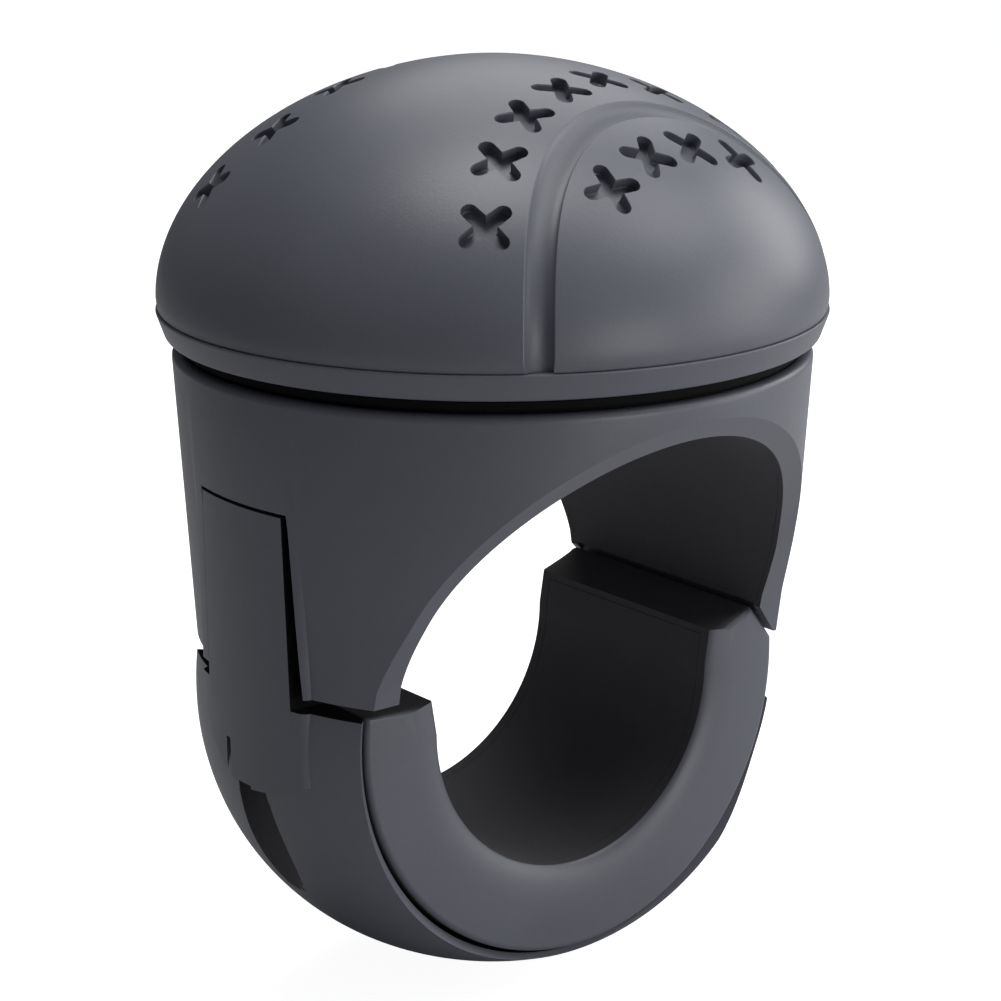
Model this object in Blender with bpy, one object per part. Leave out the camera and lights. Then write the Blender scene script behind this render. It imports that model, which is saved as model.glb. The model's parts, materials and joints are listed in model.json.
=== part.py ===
"""Steering wheel spinner knob: a ball-bearing grip knob on a hinged clamp for the wheel's rim.

The origin is the centre of the lower jaw's bore, on the knob's spin axis, with +Z up through
the knob and the rim running along Y. Sizes below are millimetres and the meshes are metres.
"""

from math import asin, atan2, cos, degrees, pi, radians, sin, sqrt

import bmesh
import bpy
from mathutils import Matrix, Vector

MM = 0.001
GAP = 0.3                     # clearance between neighbouring pieces
ROUND = 56                    # sides of a large turned piece
SMALL_ROUND = 20              # sides of a small turned piece

# Knob: a flattened dome over a thin base that carries the bearing
KNOB_RADIUS = 29.0
KNOB_WIDEST_Z = 34.3
KNOB_RISE = 20.1
DOME_POWER = 1.9
PARTING_Z = 33.3
PARTING_RADIUS = 28.45
KNOB_BOTTOM_Z = 31.0
KNOB_BOTTOM_RADIUS = 27.9
DOME_WALL = 2.6
SEAM_CENTRE_DISTANCE = 40.4
SEAM_TURN = 8.5
SEAM_RADIUS = 25.5
SEAM_WIDTH = 2.0
SEAM_DEPTH = 0.9
SEAM_END_RISE = 1.2           # the seam stops this far above the parting line
STITCH_LENGTH = 5.4
STITCH_WIDTH = 1.25
STITCH_DEPTH = 1.3
OUTER_STITCH_RADIUS = 20.8
OUTER_STITCH_STEP = 15.2
INNER_STITCH_RADIUS = 30.0
INNER_STITCH_STEP = 11.0
KNOB_SCREW_CIRCLE = 19.0
KNOB_SCREW_RADIUS = 1.15
KNOB_SCREW_HEAD_RADIUS = 2.6
KNOB_SCREW_HEAD = 1.0
KNOB_SCREW_REACH = 8.0
BOSS_RADIUS = 2.8
HUB_CLEARANCE = 0.5           # room between the base's hole and the clamp's hub
TOWER_WALL = 2.2
TOWER_LIP = 1.7               # how far the tower's floor reaches in under the bearing
TOWER_FLOOR = 1.0

# Clamp body: a tapered cup with an arched tunnel for the rim
BODY_TOP_Z = 29.7
BODY_TOP_RADIUS = 27.8
BODY_TAPER = 0.06             # radius gained for each millimetre of height
BODY_EDGE = 0.7
LEG_BOTTOM_Z = 4.3
ARCH_RADIUS = 20.2
ARCH_CENTRE_Z = 5.9
ARCH_BAND = 1.8
ARCH_BAND_DEPTH = 1.3
BAND_OVERRUN = 1.2            # the bevel tool runs on past the skin by this factor
HUB_RADIUS = 8.0
HUB_TOP_Z = 33.0
PAD_THICKNESS = 0.65
PAD_LIP = 0.6
PAD_MARGIN = -2.8             # the lining's ends lie this many degrees above the arch's centre
RECESS_MARGIN = -8.0          # its recess runs out below both legs
GLIDE_INNER_RADIUS = 24.5
GLIDE_OUTER_RADIUS = 27.45
GLIDE_THICKNESS = 0.7
GLIDE_KEY_DEPTH = 1.4
GLIDE_KEY_INNER_RADIUS = 25.2
GLIDE_KEY_OUTER_RADIUS = 26.8

# Spindle and bearing inside the knob
SPINDLE_RADIUS = 3.85
SPINDLE_HEAD_RADIUS = 6.0
SPINDLE_HEAD = 2.0
SPINDLE_POINT = 0.5           # chamfer at the spindle's end
SPINDLE_END = 1.1             # how far it stands out of its nut
BEARING_BORE = 4.15
BEARING_RADIUS = 11.0
BEARING_WIDTH = 7.0
BALL_CIRCLE = 7.5
BALL_RADIUS = 1.85
BALLS = 7
RACE_RADIUS = 2.15
SHOULDER = 1.4                # half the radial space between the two rings
CAGE_HALF_WALL = 0.7
CAGE_HALF_HEIGHT = 2.7
SPACER_LENGTH = 2.4
SPACER_WALL = 1.85
WASHER_WALL = 2.0
WASHER_THICKNESS = 1.0
LOCK_NUT_HEIGHT = 4.4
LOCK_NUT_RADIUS = 7.5
RETAINING_OVERLAP = 1.5
RETAINING_FLANGE = 2.2
RETAINING_THICKNESS = 0.8

# Lower jaw: an inner shoe with the bore, and an outer strap over it
BORE_RADIUS = 15.0
BORE_HALF_WIDTH = 15.5
JAW_TOP_Z = 3.1
SHOE_RADIUS = 22.6
SHOE_HALF_LENGTH = 12.9
SHOE_EDGE = 0.45
STRAP_RADIUS = 26.6
STRAP_GROOVE = 0.4
STRAP_HALF_LENGTH = 12.5
STRAP_END_ANGLE = -60.0
HINGE_X = 20.2
HINGE_Z = -0.6
PIN_RADIUS = 1.1
PIN_BLIND_END = 2.0           # shoe left whole in front of the pin
KNUCKLE_RADIUS = 2.4
KNUCKLE_HALF_LENGTH = 4.0
KNUCKLE_NECK = 0.3            # the neck's near side lies this far outside the pin
KNUCKLE_ROOT_DEPTH = 1.2      # the neck ends this far inside the body's skin
KNUCKLE_ROOT_RISE = 3.0
NECK_ROOM = 1.3               # the shoe's floor lies this far under the lug, free of the neck when open
HINGE_CORNER = (20.1, 4.55)   # inner end of the sloping joint between leg and shoe
HINGE_FACE_ANGLE = -51.0
HINGE_FACE_LENGTH = 3.65

# Latch: raised column, tongue in its notch, and the clamp screw
COLUMN_RADIUS = 27.2
COLUMN_ANGLE = 17.3
COLUMN_TOP_Z = 21.5
COLUMN_EASE = ((0.0, 2.2), (0.25, 1.0), (0.9, 0.0))    # inset and degrees short of the edge
COLUMN_ROOT = 2.8             # how deep the column is let into the leg
BOSS_BOTTOM_Z = -5.2
TONGUE_HALF_WIDTH = 5.8
TONGUE_TOP_Z = 19.6
TONGUE_INNER_X = -22.0
TONGUE_SIDE_GAP = 0.4
TONGUE_ROOT = 2.0
SCREW_X = -23.8
SCREW_RADIUS = 1.2
SCREW_HEAD_RADIUS = 2.0
SCREW_HEAD = 1.9
SCREW_TIP_Z = 24.5
COUNTERBORE_TOP_Z = -1.6
SCREW_WASHER = 0.5
SOCKET_RADIUS = 1.15
SOCKET_DEPTH = 1.2
CLAMP_NUT_FLATS = 4.6
CLAMP_NUT_HEIGHT = 2.4
POCKET_RADIUS = 2.7
POCKET_X = -24.3
SHOE_SCREW_Y = 6.0
SHOE_SCREW_RADIUS = 0.9
SHOE_SCREW_HEAD_RADIUS = 1.9
SHOE_SCREW_HEAD = 1.1
SHOE_SCREW_SKIN = 1.6         # strap left whole under each screw


def clear_scene():
    for thing in list(bpy.data.objects):
        bpy.data.objects.remove(thing, do_unlink=True)


def material(name, colour, roughness, metallic=0.0):
    made = bpy.data.materials.get(name) or bpy.data.materials.new(name)
    made.use_nodes = True
    shader = made.node_tree.nodes["Principled BSDF"]
    shader.inputs["Base Color"].default_value = (*colour, 1.0)
    shader.inputs["Roughness"].default_value = roughness
    shader.inputs["Metallic"].default_value = metallic
    return made


def slate_plastic():
    return material("slate_plastic", (0.115, 0.12, 0.145), 0.42)


def dark_rubber():
    return material("dark_rubber", (0.03, 0.028, 0.032), 0.8)


def black_plastic():
    return material("black_plastic", (0.012, 0.012, 0.014), 0.5)


def steel():
    return material("steel", (0.6, 0.6, 0.62), 0.3, 1.0)


def zinc_steel():
    return material("zinc_steel", (0.5, 0.52, 0.55), 0.35, 1.0)


# Shapes

def finish(name, shape, look=None):
    """Store a bmesh drawn in millimetres as a named object in metres, faces outward."""
    bmesh.ops.remove_doubles(shape, verts=shape.verts, dist=1e-4)
    bmesh.ops.recalc_face_normals(shape, faces=shape.faces)
    bmesh.ops.scale(shape, vec=(MM, MM, MM), verts=shape.verts)
    mesh = bpy.data.meshes.new(name)
    shape.to_mesh(mesh)
    shape.free()
    made = bpy.data.objects.new(name, mesh)
    bpy.context.scene.collection.objects.link(made)
    if look:
        mesh.materials.append(look)
        mesh.shade_smooth()
        mesh.set_sharp_from_angle(angle=radians(30))
    else:
        made.hide_render = True
        made.display_type = "WIRE"
    return made


def turned(name, outline, look=None, sides=ROUND, centre=(0.0, 0.0)):
    """Spin a closed outline of (radius, z) points about the vertical line at centre."""
    shape = bmesh.new()
    points = [shape.verts.new((radius, 0.0, z)) for radius, z in outline]
    edges = [shape.edges.new((points[i - 1], points[i])) for i in range(len(points))
             if outline[i - 1][0] + outline[i][0] > 0.0]
    bmesh.ops.spin(shape, geom=points + edges, cent=(0, 0, 0), axis=(0, 0, 1),
                   angle=2 * pi, steps=sides, use_merge=True)
    bmesh.ops.dissolve_degenerate(shape, dist=1e-4, edges=shape.edges)
    if sides <= SMALL_ROUND:
        flat_first = Matrix.Rotation(pi / sides, 3, "Z")
        bmesh.ops.rotate(shape, verts=shape.verts, cent=(0, 0, 0), matrix=flat_first)
    bmesh.ops.translate(shape, verts=shape.verts, vec=(*centre, 0.0))
    return finish(name, shape, look)


def tube(name, inner, outer, bottom, top, look=None, sides=ROUND, centre=(0.0, 0.0)):
    outline = [(inner, bottom), (outer, bottom), (outer, top), (inner, top)]
    return turned(name, outline, look, sides, centre)


def rod(name, radius, bottom, top, look=None, sides=SMALL_ROUND, centre=(0.0, 0.0)):
    outline = [(0.0, bottom), (radius, bottom), (radius, top), (0.0, top)]
    return turned(name, outline, look, sides, centre)


def prism(name, outline, low, high, along="Y", look=None):
    """Extrude a closed flat outline along Y (outline in x, z) or along Z (outline in x, y)."""
    place = {"Y": lambda a, b, c: (a, c, b), "Z": lambda a, b, c: (a, b, c)}[along]
    shape = bmesh.new()
    face = shape.faces.new([shape.verts.new(place(a, b, low)) for a, b in outline])
    lifted = bmesh.ops.extrude_face_region(shape, geom=[face])["geom"]
    moved = [part for part in lifted if isinstance(part, bmesh.types.BMVert)]
    bmesh.ops.translate(shape, verts=moved, vec=place(0.0, 0.0, high - low))
    return finish(name, shape, look)


def box(name, low, high):
    outline = [(low[0], low[1]), (high[0], low[1]), (high[0], high[1]), (low[0], high[1])]
    return prism(name, outline, low[2], high[2], "Z")


def arc(radius, start, end, steps, centre=(0.0, 0.0)):
    """Points on a circle from one angle to another, in degrees."""
    turns = [radians(start + (end - start) * i / steps) for i in range(steps + 1)]
    return [(centre[0] + radius * cos(t), centre[1] + radius * sin(t)) for t in turns]


def combine(target, tool, operation="DIFFERENCE"):
    step = target.modifiers.new(tool.name, "BOOLEAN")
    step.operation = operation
    step.solver = "EXACT"
    step.object = tool


def body_radius(z):
    return BODY_TOP_RADIUS - BODY_TAPER * (BODY_TOP_Z - z)


def dome_height(radius, spread=0.0):
    """Height of the dome, or of a copy shrunk by spread, above a point at this radius."""
    share = min(1.0, radius / (KNOB_RADIUS - spread))
    return KNOB_WIDEST_Z + (KNOB_RISE - spread) * (1 - share ** DOME_POWER) ** (1 / DOME_POWER)


def dome_outline(spread, steps):
    """Points of the dome's section from the widest line up to the top."""
    points = []
    for i in range(steps + 1):
        turn = radians(90 * i / steps)
        radius = (KNOB_RADIUS - spread) * cos(turn) ** (2 / DOME_POWER)
        rise = (KNOB_RISE - spread) * sin(turn) ** (2 / DOME_POWER)
        points.append((max(0.0, radius) if i < steps else 0.0, KNOB_WIDEST_Z + rise))
    return points


# Knob

def seam_frames():
    """Centre and inward direction of the two seam arcs, half a turn apart in plan."""
    for half in (0, 1):
        turn = radians(-90 + SEAM_TURN + 180 * half)
        outward = Vector((cos(turn), sin(turn), 0.0))
        yield outward * SEAM_CENTRE_DISTANCE, -outward


def seam_cutter():
    """Two ring walls in plan, kept above a dome that lies one groove depth below the skin."""
    for number, (centre, _) in enumerate(seam_frames()):
        ring = tube(f"seam_ring_{number}", SEAM_RADIUS - SEAM_WIDTH / 2, SEAM_RADIUS + SEAM_WIDTH / 2,
                    PARTING_Z + SEAM_END_RISE, KNOB_WIDEST_Z + KNOB_RISE + 2,
                    centre=(centre.x, centre.y))
        combine(ring, turned(f"seam_floor_{number}", [(0.0, KNOB_BOTTOM_Z)]
                             + [(KNOB_RADIUS - SEAM_DEPTH, KNOB_BOTTOM_Z)]
                             + dome_outline(SEAM_DEPTH, 9), sides=36))
        yield ring


def cross_outline():
    """A stitch seen from above: two crossed bars with round ends."""
    reach = STITCH_LENGTH / 2 - STITCH_WIDTH / 2
    points = []
    for arm in range(4):
        middle = 45 + 90 * arm
        tip = (reach * cos(radians(middle)), reach * sin(radians(middle)))
        points += arc(STITCH_WIDTH / 2, middle - 90, middle + 90, 2, tip)
        notch = STITCH_WIDTH / sqrt(2)
        points.append((notch * cos(radians(middle + 45)), notch * sin(radians(middle + 45))))
    return points


def stitch_places():
    """Plan position and seam direction of each stitch, along both sides of both seams."""
    rows = ((INNER_STITCH_RADIUS, INNER_STITCH_STEP, 8), (OUTER_STITCH_RADIUS, OUTER_STITCH_STEP, 4))
    for centre, inward in seam_frames():
        for radius, step, count in rows:
            for i in range(count):
                turn = radians((i - (count - 1) / 2) * step)
                outward = Matrix.Rotation(turn, 3, "Z") @ inward
                yield centre + outward * radius, outward


def stitch_cutter():
    """All stitch pits as one tool, each sunk along the dome's own normal."""
    shape = bmesh.new()
    outline = cross_outline()
    for place, outward in stitch_places():
        radius = place.length
        slope = (dome_height(radius + 0.05) - dome_height(radius - 0.05)) / 0.1
        normal = Vector((-slope * place.x / radius, -slope * place.y / radius, 1.0)).normalized()
        across = normal.cross(outward).normalized()
        along = across.cross(normal)
        top = Vector((place.x, place.y, dome_height(radius)))
        spots = [top + along * a + across * b for a, b in outline]
        low = [shape.verts.new(spot - normal * STITCH_DEPTH) for spot in spots]
        high = [shape.verts.new(spot + normal * STITCH_DEPTH) for spot in spots]
        shape.faces.new(low)
        shape.faces.new(high)
        for i in range(len(low)):
            shape.faces.new((low[i - 1], low[i], high[i], high[i - 1]))
    return finish("stitch_tool", shape)


def boss_places():
    for i in range(3):
        turn = radians(30 + 120 * i)
        yield KNOB_SCREW_CIRCLE * cos(turn), KNOB_SCREW_CIRCLE * sin(turn)


def boss_top():
    """The screw bosses run up into the dome's inner face."""
    return dome_height(KNOB_SCREW_CIRCLE, DOME_WALL)


def make_dome_cap():
    inner = dome_outline(DOME_WALL, 5)
    outline = [(PARTING_RADIUS, PARTING_Z)] + dome_outline(0.0, 12)
    outline += inner[::-1] + [(KNOB_RADIUS - DOME_WALL, PARTING_Z)]
    dome = turned("dome_cap", outline, slate_plastic())
    for number, place in enumerate(boss_places()):
        boss = rod(f"boss_{number}", BOSS_RADIUS, PARTING_Z, boss_top(), sides=14, centre=place)
        combine(dome, boss, "UNION")
        combine(dome, rod(f"boss_hole_{number}", KNOB_SCREW_RADIUS + GAP, PARTING_Z - 1,
                          PARTING_Z + KNOB_SCREW_REACH, centre=place, sides=10))
    for tool in seam_cutter():
        combine(dome, tool)
    combine(dome, stitch_cutter())


def bearing_bottom():
    return HUB_TOP_Z + GAP + SPACER_LENGTH + GAP


def bearing_top():
    return bearing_bottom() + BEARING_WIDTH


def make_knob_base():
    """A thin dish with a central tower that grips the bearing's outer ring."""
    seat = BEARING_RADIUS + GAP
    tower = seat + TOWER_WALL
    lip = BEARING_RADIUS - TOWER_LIP
    hole = HUB_RADIUS + HUB_CLEARANCE
    top = PARTING_Z - GAP
    outline = [(hole, KNOB_BOTTOM_Z), (KNOB_BOTTOM_RADIUS, KNOB_BOTTOM_Z),
               (PARTING_RADIUS - 0.1, top), (tower, top), (tower, bearing_top()),
               (seat, bearing_top()), (seat, bearing_bottom() - GAP),
               (lip, bearing_bottom() - GAP), (lip, top + TOWER_FLOOR), (hole, top)]
    base = turned("knob_base", outline, slate_plastic(), 44)
    for number, place in enumerate(boss_places()):
        combine(base, rod(f"screw_hole_{number}", KNOB_SCREW_RADIUS + GAP, KNOB_BOTTOM_Z - 1,
                          top + 1, centre=place, sides=10))
        combine(base, rod(f"screw_recess_{number}", KNOB_SCREW_HEAD_RADIUS + GAP, KNOB_BOTTOM_Z - 1,
                          KNOB_BOTTOM_Z + KNOB_SCREW_HEAD + GAP, centre=place, sides=12))


def make_knob_screws():
    head_bottom = KNOB_BOTTOM_Z + 0.05
    head_top = head_bottom + KNOB_SCREW_HEAD
    tip = PARTING_Z + KNOB_SCREW_REACH - 0.5
    for number, place in enumerate(boss_places()):
        outline = [(0.0, head_bottom), (KNOB_SCREW_HEAD_RADIUS, head_bottom),
                   (KNOB_SCREW_HEAD_RADIUS, head_top), (KNOB_SCREW_RADIUS, head_top),
                   (KNOB_SCREW_RADIUS, tip), (0.0, tip)]
        turned(f"knob_screw_{number + 1}", outline, steel(), 10, place)


# Bearing and spindle

def make_spindle():
    head_bottom = arch_crown() + PAD_THICKNESS + 2 * GAP
    head_top = head_bottom + SPINDLE_HEAD
    end = bearing_top() + 2 * GAP + WASHER_THICKNESS + LOCK_NUT_HEIGHT + SPINDLE_END
    outline = [(0.0, head_bottom), (SPINDLE_HEAD_RADIUS, head_bottom), (SPINDLE_HEAD_RADIUS, head_top),
               (SPINDLE_RADIUS, head_top), (SPINDLE_RADIUS, end - SPINDLE_POINT),
               (SPINDLE_RADIUS - SPINDLE_POINT, end), (0.0, end)]
    turned("spindle_bolt", outline, zinc_steel(), SMALL_ROUND)
    tube("spacer_sleeve", BEARING_BORE, BEARING_BORE + SPACER_WALL, HUB_TOP_Z + GAP,
         HUB_TOP_Z + GAP + SPACER_LENGTH, zinc_steel(), SMALL_ROUND)
    washer_bottom = bearing_top() + GAP
    tube("washer", BEARING_BORE, BEARING_BORE + WASHER_WALL, washer_bottom,
         washer_bottom + WASHER_THICKNESS, zinc_steel(), SMALL_ROUND)
    nut_bottom = washer_bottom + WASHER_THICKNESS + GAP
    nut = prism("lock_nut", arc(LOCK_NUT_RADIUS, 0, 300, 5), nut_bottom,
                nut_bottom + LOCK_NUT_HEIGHT, "Z", zinc_steel())
    combine(nut, rod("lock_nut_hole", BEARING_BORE, nut_bottom - 1, nut_bottom + LOCK_NUT_HEIGHT + 1))


def race(side):
    """The half-round groove of one ring, read upward; side is +1 for the inner ring."""
    middle = bearing_bottom() + BEARING_WIDTH / 2
    half = degrees(asin(sqrt(1 - (SHOULDER / RACE_RADIUS) ** 2)))
    turns = [radians(-half + 2 * half * i / 3) for i in range(4)]
    return [(BALL_CIRCLE - side * RACE_RADIUS * cos(t), middle + RACE_RADIUS * sin(t)) for t in turns]


def make_bearing():
    low = bearing_bottom()
    high = bearing_top()
    inner_shoulder = BALL_CIRCLE - SHOULDER
    outer_shoulder = BALL_CIRCLE + SHOULDER
    turned("bearing_inner_ring", [(BEARING_BORE, low), (inner_shoulder, low)]
           + race(1) + [(inner_shoulder, high), (BEARING_BORE, high)], steel(), SMALL_ROUND)
    turned("bearing_outer_ring", [(outer_shoulder, high)] + race(-1)[::-1]
           + [(outer_shoulder, low), (BEARING_RADIUS, low), (BEARING_RADIUS, high)], steel(), 28)
    middle = (low + high) / 2
    cage = tube("bearing_cage", BALL_CIRCLE - CAGE_HALF_WALL, BALL_CIRCLE + CAGE_HALF_WALL,
                middle - CAGE_HALF_HEIGHT, middle + CAGE_HALF_HEIGHT, black_plastic(), SMALL_ROUND)
    ball = None
    for number in range(BALLS):
        turn = 2 * pi * number / BALLS
        place = (BALL_CIRCLE * cos(turn) * MM, BALL_CIRCLE * sin(turn) * MM, middle * MM)
        pocket = rod(f"ball_pocket_{number}", BALL_RADIUS + GAP, -3, 3, sides=10)
        pocket.location = place
        pocket.rotation_euler = (0.0, pi / 2, turn)
        combine(cage, pocket)
        if ball is None:
            shape = bmesh.new()
            bmesh.ops.create_icosphere(shape, subdivisions=2, radius=BALL_RADIUS)
            ball = finish("ball_1", shape, steel())
            ball.data.set_sharp_from_angle(angle=pi)
            piece = ball
        else:
            piece = bpy.data.objects.new(f"ball_{number + 1}", ball.data)
            bpy.context.scene.collection.objects.link(piece)
        piece.location = place
    tube("retaining_ring", BEARING_RADIUS - RETAINING_OVERLAP, BEARING_RADIUS + RETAINING_FLANGE,
         high + GAP, high + GAP + RETAINING_THICKNESS, zinc_steel(), 36)


# Clamp body

def arch_crown():
    return ARCH_CENTRE_Z + ARCH_RADIUS


def arch_points(radius, steps, floor_z):
    """The tunnel's outline from the left foot over the crown to the right foot."""
    points = [(-radius, floor_z), (-radius, (floor_z + ARCH_CENTRE_Z) / 2)]
    points += arc(radius, 180, 0, steps, (0.0, ARCH_CENTRE_Z))
    return points + [(radius, (floor_z + ARCH_CENTRE_Z) / 2), (radius, floor_z)]


def mouth_depth(x, z):
    """How far out along Y the body's skin lies above this point."""
    return sqrt(max(1.0, body_radius(z) ** 2 - x ** 2))


def tunnel_cutter():
    """The arched tunnel with its bevelled mouths, whose outer edge lies on the tapered skin."""
    floor_z = BOSS_BOTTOM_Z - 2
    steps = 28
    outer = arch_points(ARCH_RADIUS + ARCH_BAND, steps, floor_z)
    inner = arch_points(ARCH_RADIUS, steps, floor_z)
    shape = bmesh.new()
    rings = []
    for side in (-1, 1):
        far, edge, throat = [], [], []
        for (xo, zo), (xi, zi) in zip(outer, inner):
            lean = ARCH_BAND_DEPTH * max(0.0, (zo - ARCH_CENTRE_Z) / (ARCH_RADIUS + ARCH_BAND))
            skin = mouth_depth(xo, zo)
            x = xi + BAND_OVERRUN * (xo - xi)
            z = zi + BAND_OVERRUN * (zo - zi)
            far.append(shape.verts.new((x, side * (KNOB_RADIUS + 5), z)))
            edge.append(shape.verts.new((x, side * (skin + (BAND_OVERRUN - 1) * lean), z)))
            throat.append(shape.verts.new((xi, side * (skin - lean), zi)))
        rings += [far, edge, throat] if side < 0 else [throat, edge, far]
    shape.faces.new(rings[0])
    shape.faces.new(rings[-1])
    for near, next_ring in zip(rings, rings[1:]):
        for i in range(len(near)):
            shape.faces.new((near[i - 1], near[i], next_ring[i], next_ring[i - 1]))
    return finish("tunnel_tool", shape)


def arch_shell(name, inner, outer, inset, margin, look=None):
    """A curved sheet under the tunnel's roof that stops short of both mouths by inset."""
    steps = 24
    shape = bmesh.new()
    rings = []
    for i in range(steps + 1):
        turn = radians(margin + (180 - 2 * margin) * i / steps)
        x = (ARCH_RADIUS + ARCH_BAND) * cos(turn)
        z = ARCH_CENTRE_Z + (ARCH_RADIUS + ARCH_BAND) * sin(turn)
        end = mouth_depth(x, z) - ARCH_BAND_DEPTH * sin(turn) - inset
        corners = ((inner, -end), (outer, -end), (outer, end), (inner, end))
        rings.append([shape.verts.new((radius * cos(turn), y, ARCH_CENTRE_Z + radius * sin(turn)))
                      for radius, y in corners])
    shape.faces.new(rings[0])
    shape.faces.new(rings[-1])
    for near, next_ring in zip(rings, rings[1:]):
        for i in range(4):
            shape.faces.new((near[i - 1], near[i], next_ring[i], next_ring[i - 1]))
    return finish(name, shape, look)


def column_outline(inner):
    """Plan of the raised latch column, with eased edges, around the -X side."""
    first = COLUMN_ANGLE - COLUMN_EASE[0][1]
    points = arc(COLUMN_RADIUS, 180 - first, 180 + first, 10)
    for inset, short in COLUMN_EASE[1:]:
        points += arc(COLUMN_RADIUS - inset, 180 + COLUMN_ANGLE - short, 180 + COLUMN_ANGLE - short, 1)[:1]
    half = COLUMN_RADIUS * sin(radians(COLUMN_ANGLE)) - COLUMN_EASE[-1][0]
    points += [(inner, -half), (inner, half)]
    for inset, short in COLUMN_EASE[:0:-1]:
        points += arc(COLUMN_RADIUS - inset, 180 - COLUMN_ANGLE + short, 180 - COLUMN_ANGLE + short, 1)[:1]
    return points


def hinge_face_end():
    return (HINGE_CORNER[0] + HINGE_FACE_LENGTH * cos(radians(HINGE_FACE_ANGLE)),
            HINGE_CORNER[1] + HINGE_FACE_LENGTH * sin(radians(HINGE_FACE_ANGLE)))


def below_legs():
    """Everything under the legs: level on the latch side, sloping down outward at the hinge."""
    shift = GAP / 2
    run = HINGE_FACE_ANGLE + 90
    nudge = (shift * cos(radians(run)), shift * sin(radians(run)))
    corner = (HINGE_CORNER[0] + nudge[0], HINGE_CORNER[1] + nudge[1])
    end = (hinge_face_end()[0] + nudge[0], hinge_face_end()[1] + nudge[1])
    far = 2 * KNOB_RADIUS
    outline = [(-far, -far), (far, -far), (far, end[1]), end, corner,
               (corner[0] - 5, LEG_BOTTOM_Z), (-far, LEG_BOTTOM_Z)]
    return prism("below_legs", outline, -far, far)


def knuckle_outline():
    """The leg's middle hinge lug: round about the pin, with a neck up the outside into the leg."""
    past_top = degrees(asin(KNUCKLE_NECK / KNUCKLE_RADIUS))
    lug = arc(KNUCKLE_RADIUS, 0, -270 - past_top, 15, (HINGE_X, HINGE_Z))
    root_x = body_radius(LEG_BOTTOM_Z) - KNUCKLE_ROOT_DEPTH
    root_z = HINGE_CORNER[1] + KNUCKLE_ROOT_RISE
    side_x = ARCH_RADIUS + PAD_THICKNESS + 2 * GAP
    return lug + [(side_x, HINGE_CORNER[1]), (side_x, root_z), (root_x, root_z),
                  (root_x, hinge_face_end()[1])]


def lengthwise_rod(name, radius, low, high, centre, look=None, sides=12):
    return prism(name, arc(radius, 0, 360 - 360 / sides, sides - 1, centre), low, high, "Y", look)


def make_clamp_body():
    bottom = BOSS_BOTTOM_Z
    outline = [(0.0, bottom), (body_radius(bottom), bottom),
               (body_radius(BODY_TOP_Z - BODY_EDGE), BODY_TOP_Z - BODY_EDGE),
               (BODY_TOP_RADIUS - BODY_EDGE * 0.3, BODY_TOP_Z - BODY_EDGE * 0.3),
               (BODY_TOP_RADIUS - BODY_EDGE, BODY_TOP_Z)]
    key_low = BODY_TOP_Z - GLIDE_KEY_DEPTH
    outline += [(GLIDE_KEY_OUTER_RADIUS, BODY_TOP_Z), (GLIDE_KEY_OUTER_RADIUS, key_low),
                (GLIDE_KEY_INNER_RADIUS, key_low), (GLIDE_KEY_INNER_RADIUS, BODY_TOP_Z),
                (HUB_RADIUS, BODY_TOP_Z), (HUB_RADIUS, HUB_TOP_Z), (0.0, HUB_TOP_Z)]
    body = turned("clamp_body", outline, slate_plastic(), 64)
    plan = column_outline(-(ARCH_RADIUS + COLUMN_ROOT))
    combine(body, prism("column", plan, bottom + 1, COLUMN_TOP_Z, "Z"), "UNION")
    combine(body, tunnel_cutter())
    combine(body, below_legs())
    pad_outer = ARCH_RADIUS + PAD_THICKNESS + GAP
    combine(body, arch_shell("saddle_recess", ARCH_RADIUS - 1, pad_outer, PAD_LIP, RECESS_MARGIN))
    knuckle = prism("knuckle", knuckle_outline(), -KNUCKLE_HALF_LENGTH, KNUCKLE_HALF_LENGTH)
    combine(body, knuckle, "UNION")
    combine(body, lengthwise_rod("knuckle_hole", PIN_RADIUS + GAP, -9, 9, (HINGE_X, HINGE_Z)))
    notch = TONGUE_HALF_WIDTH + TONGUE_SIDE_GAP
    combine(body, box("tongue_notch", (-2 * KNOB_RADIUS, -notch, 0.0),
                      (TONGUE_INNER_X + GAP, notch, TONGUE_TOP_Z + GAP)))
    nut_half = CLAMP_NUT_FLATS / 2 + GAP
    combine(body, box("nut_pocket", (SCREW_X - nut_half, -nut_half - 0.4, TONGUE_TOP_Z),
                      (SCREW_X + nut_half, nut_half + 0.4, nut_top() + GAP)))
    combine(body, rod("screw_end_hole", SCREW_RADIUS + GAP, nut_top(), SCREW_TIP_Z + 0.5,
                      centre=(SCREW_X, 0.0), sides=10))
    combine(body, rod("spindle_hole", SPINDLE_RADIUS + GAP, arch_crown() - 3, HUB_TOP_Z + 2))
    combine(body, rod("spindle_pocket", SPINDLE_HEAD_RADIUS + GAP, arch_crown() - 3,
                      arch_crown() + PAD_THICKNESS + 3 * GAP + SPINDLE_HEAD))


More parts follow.
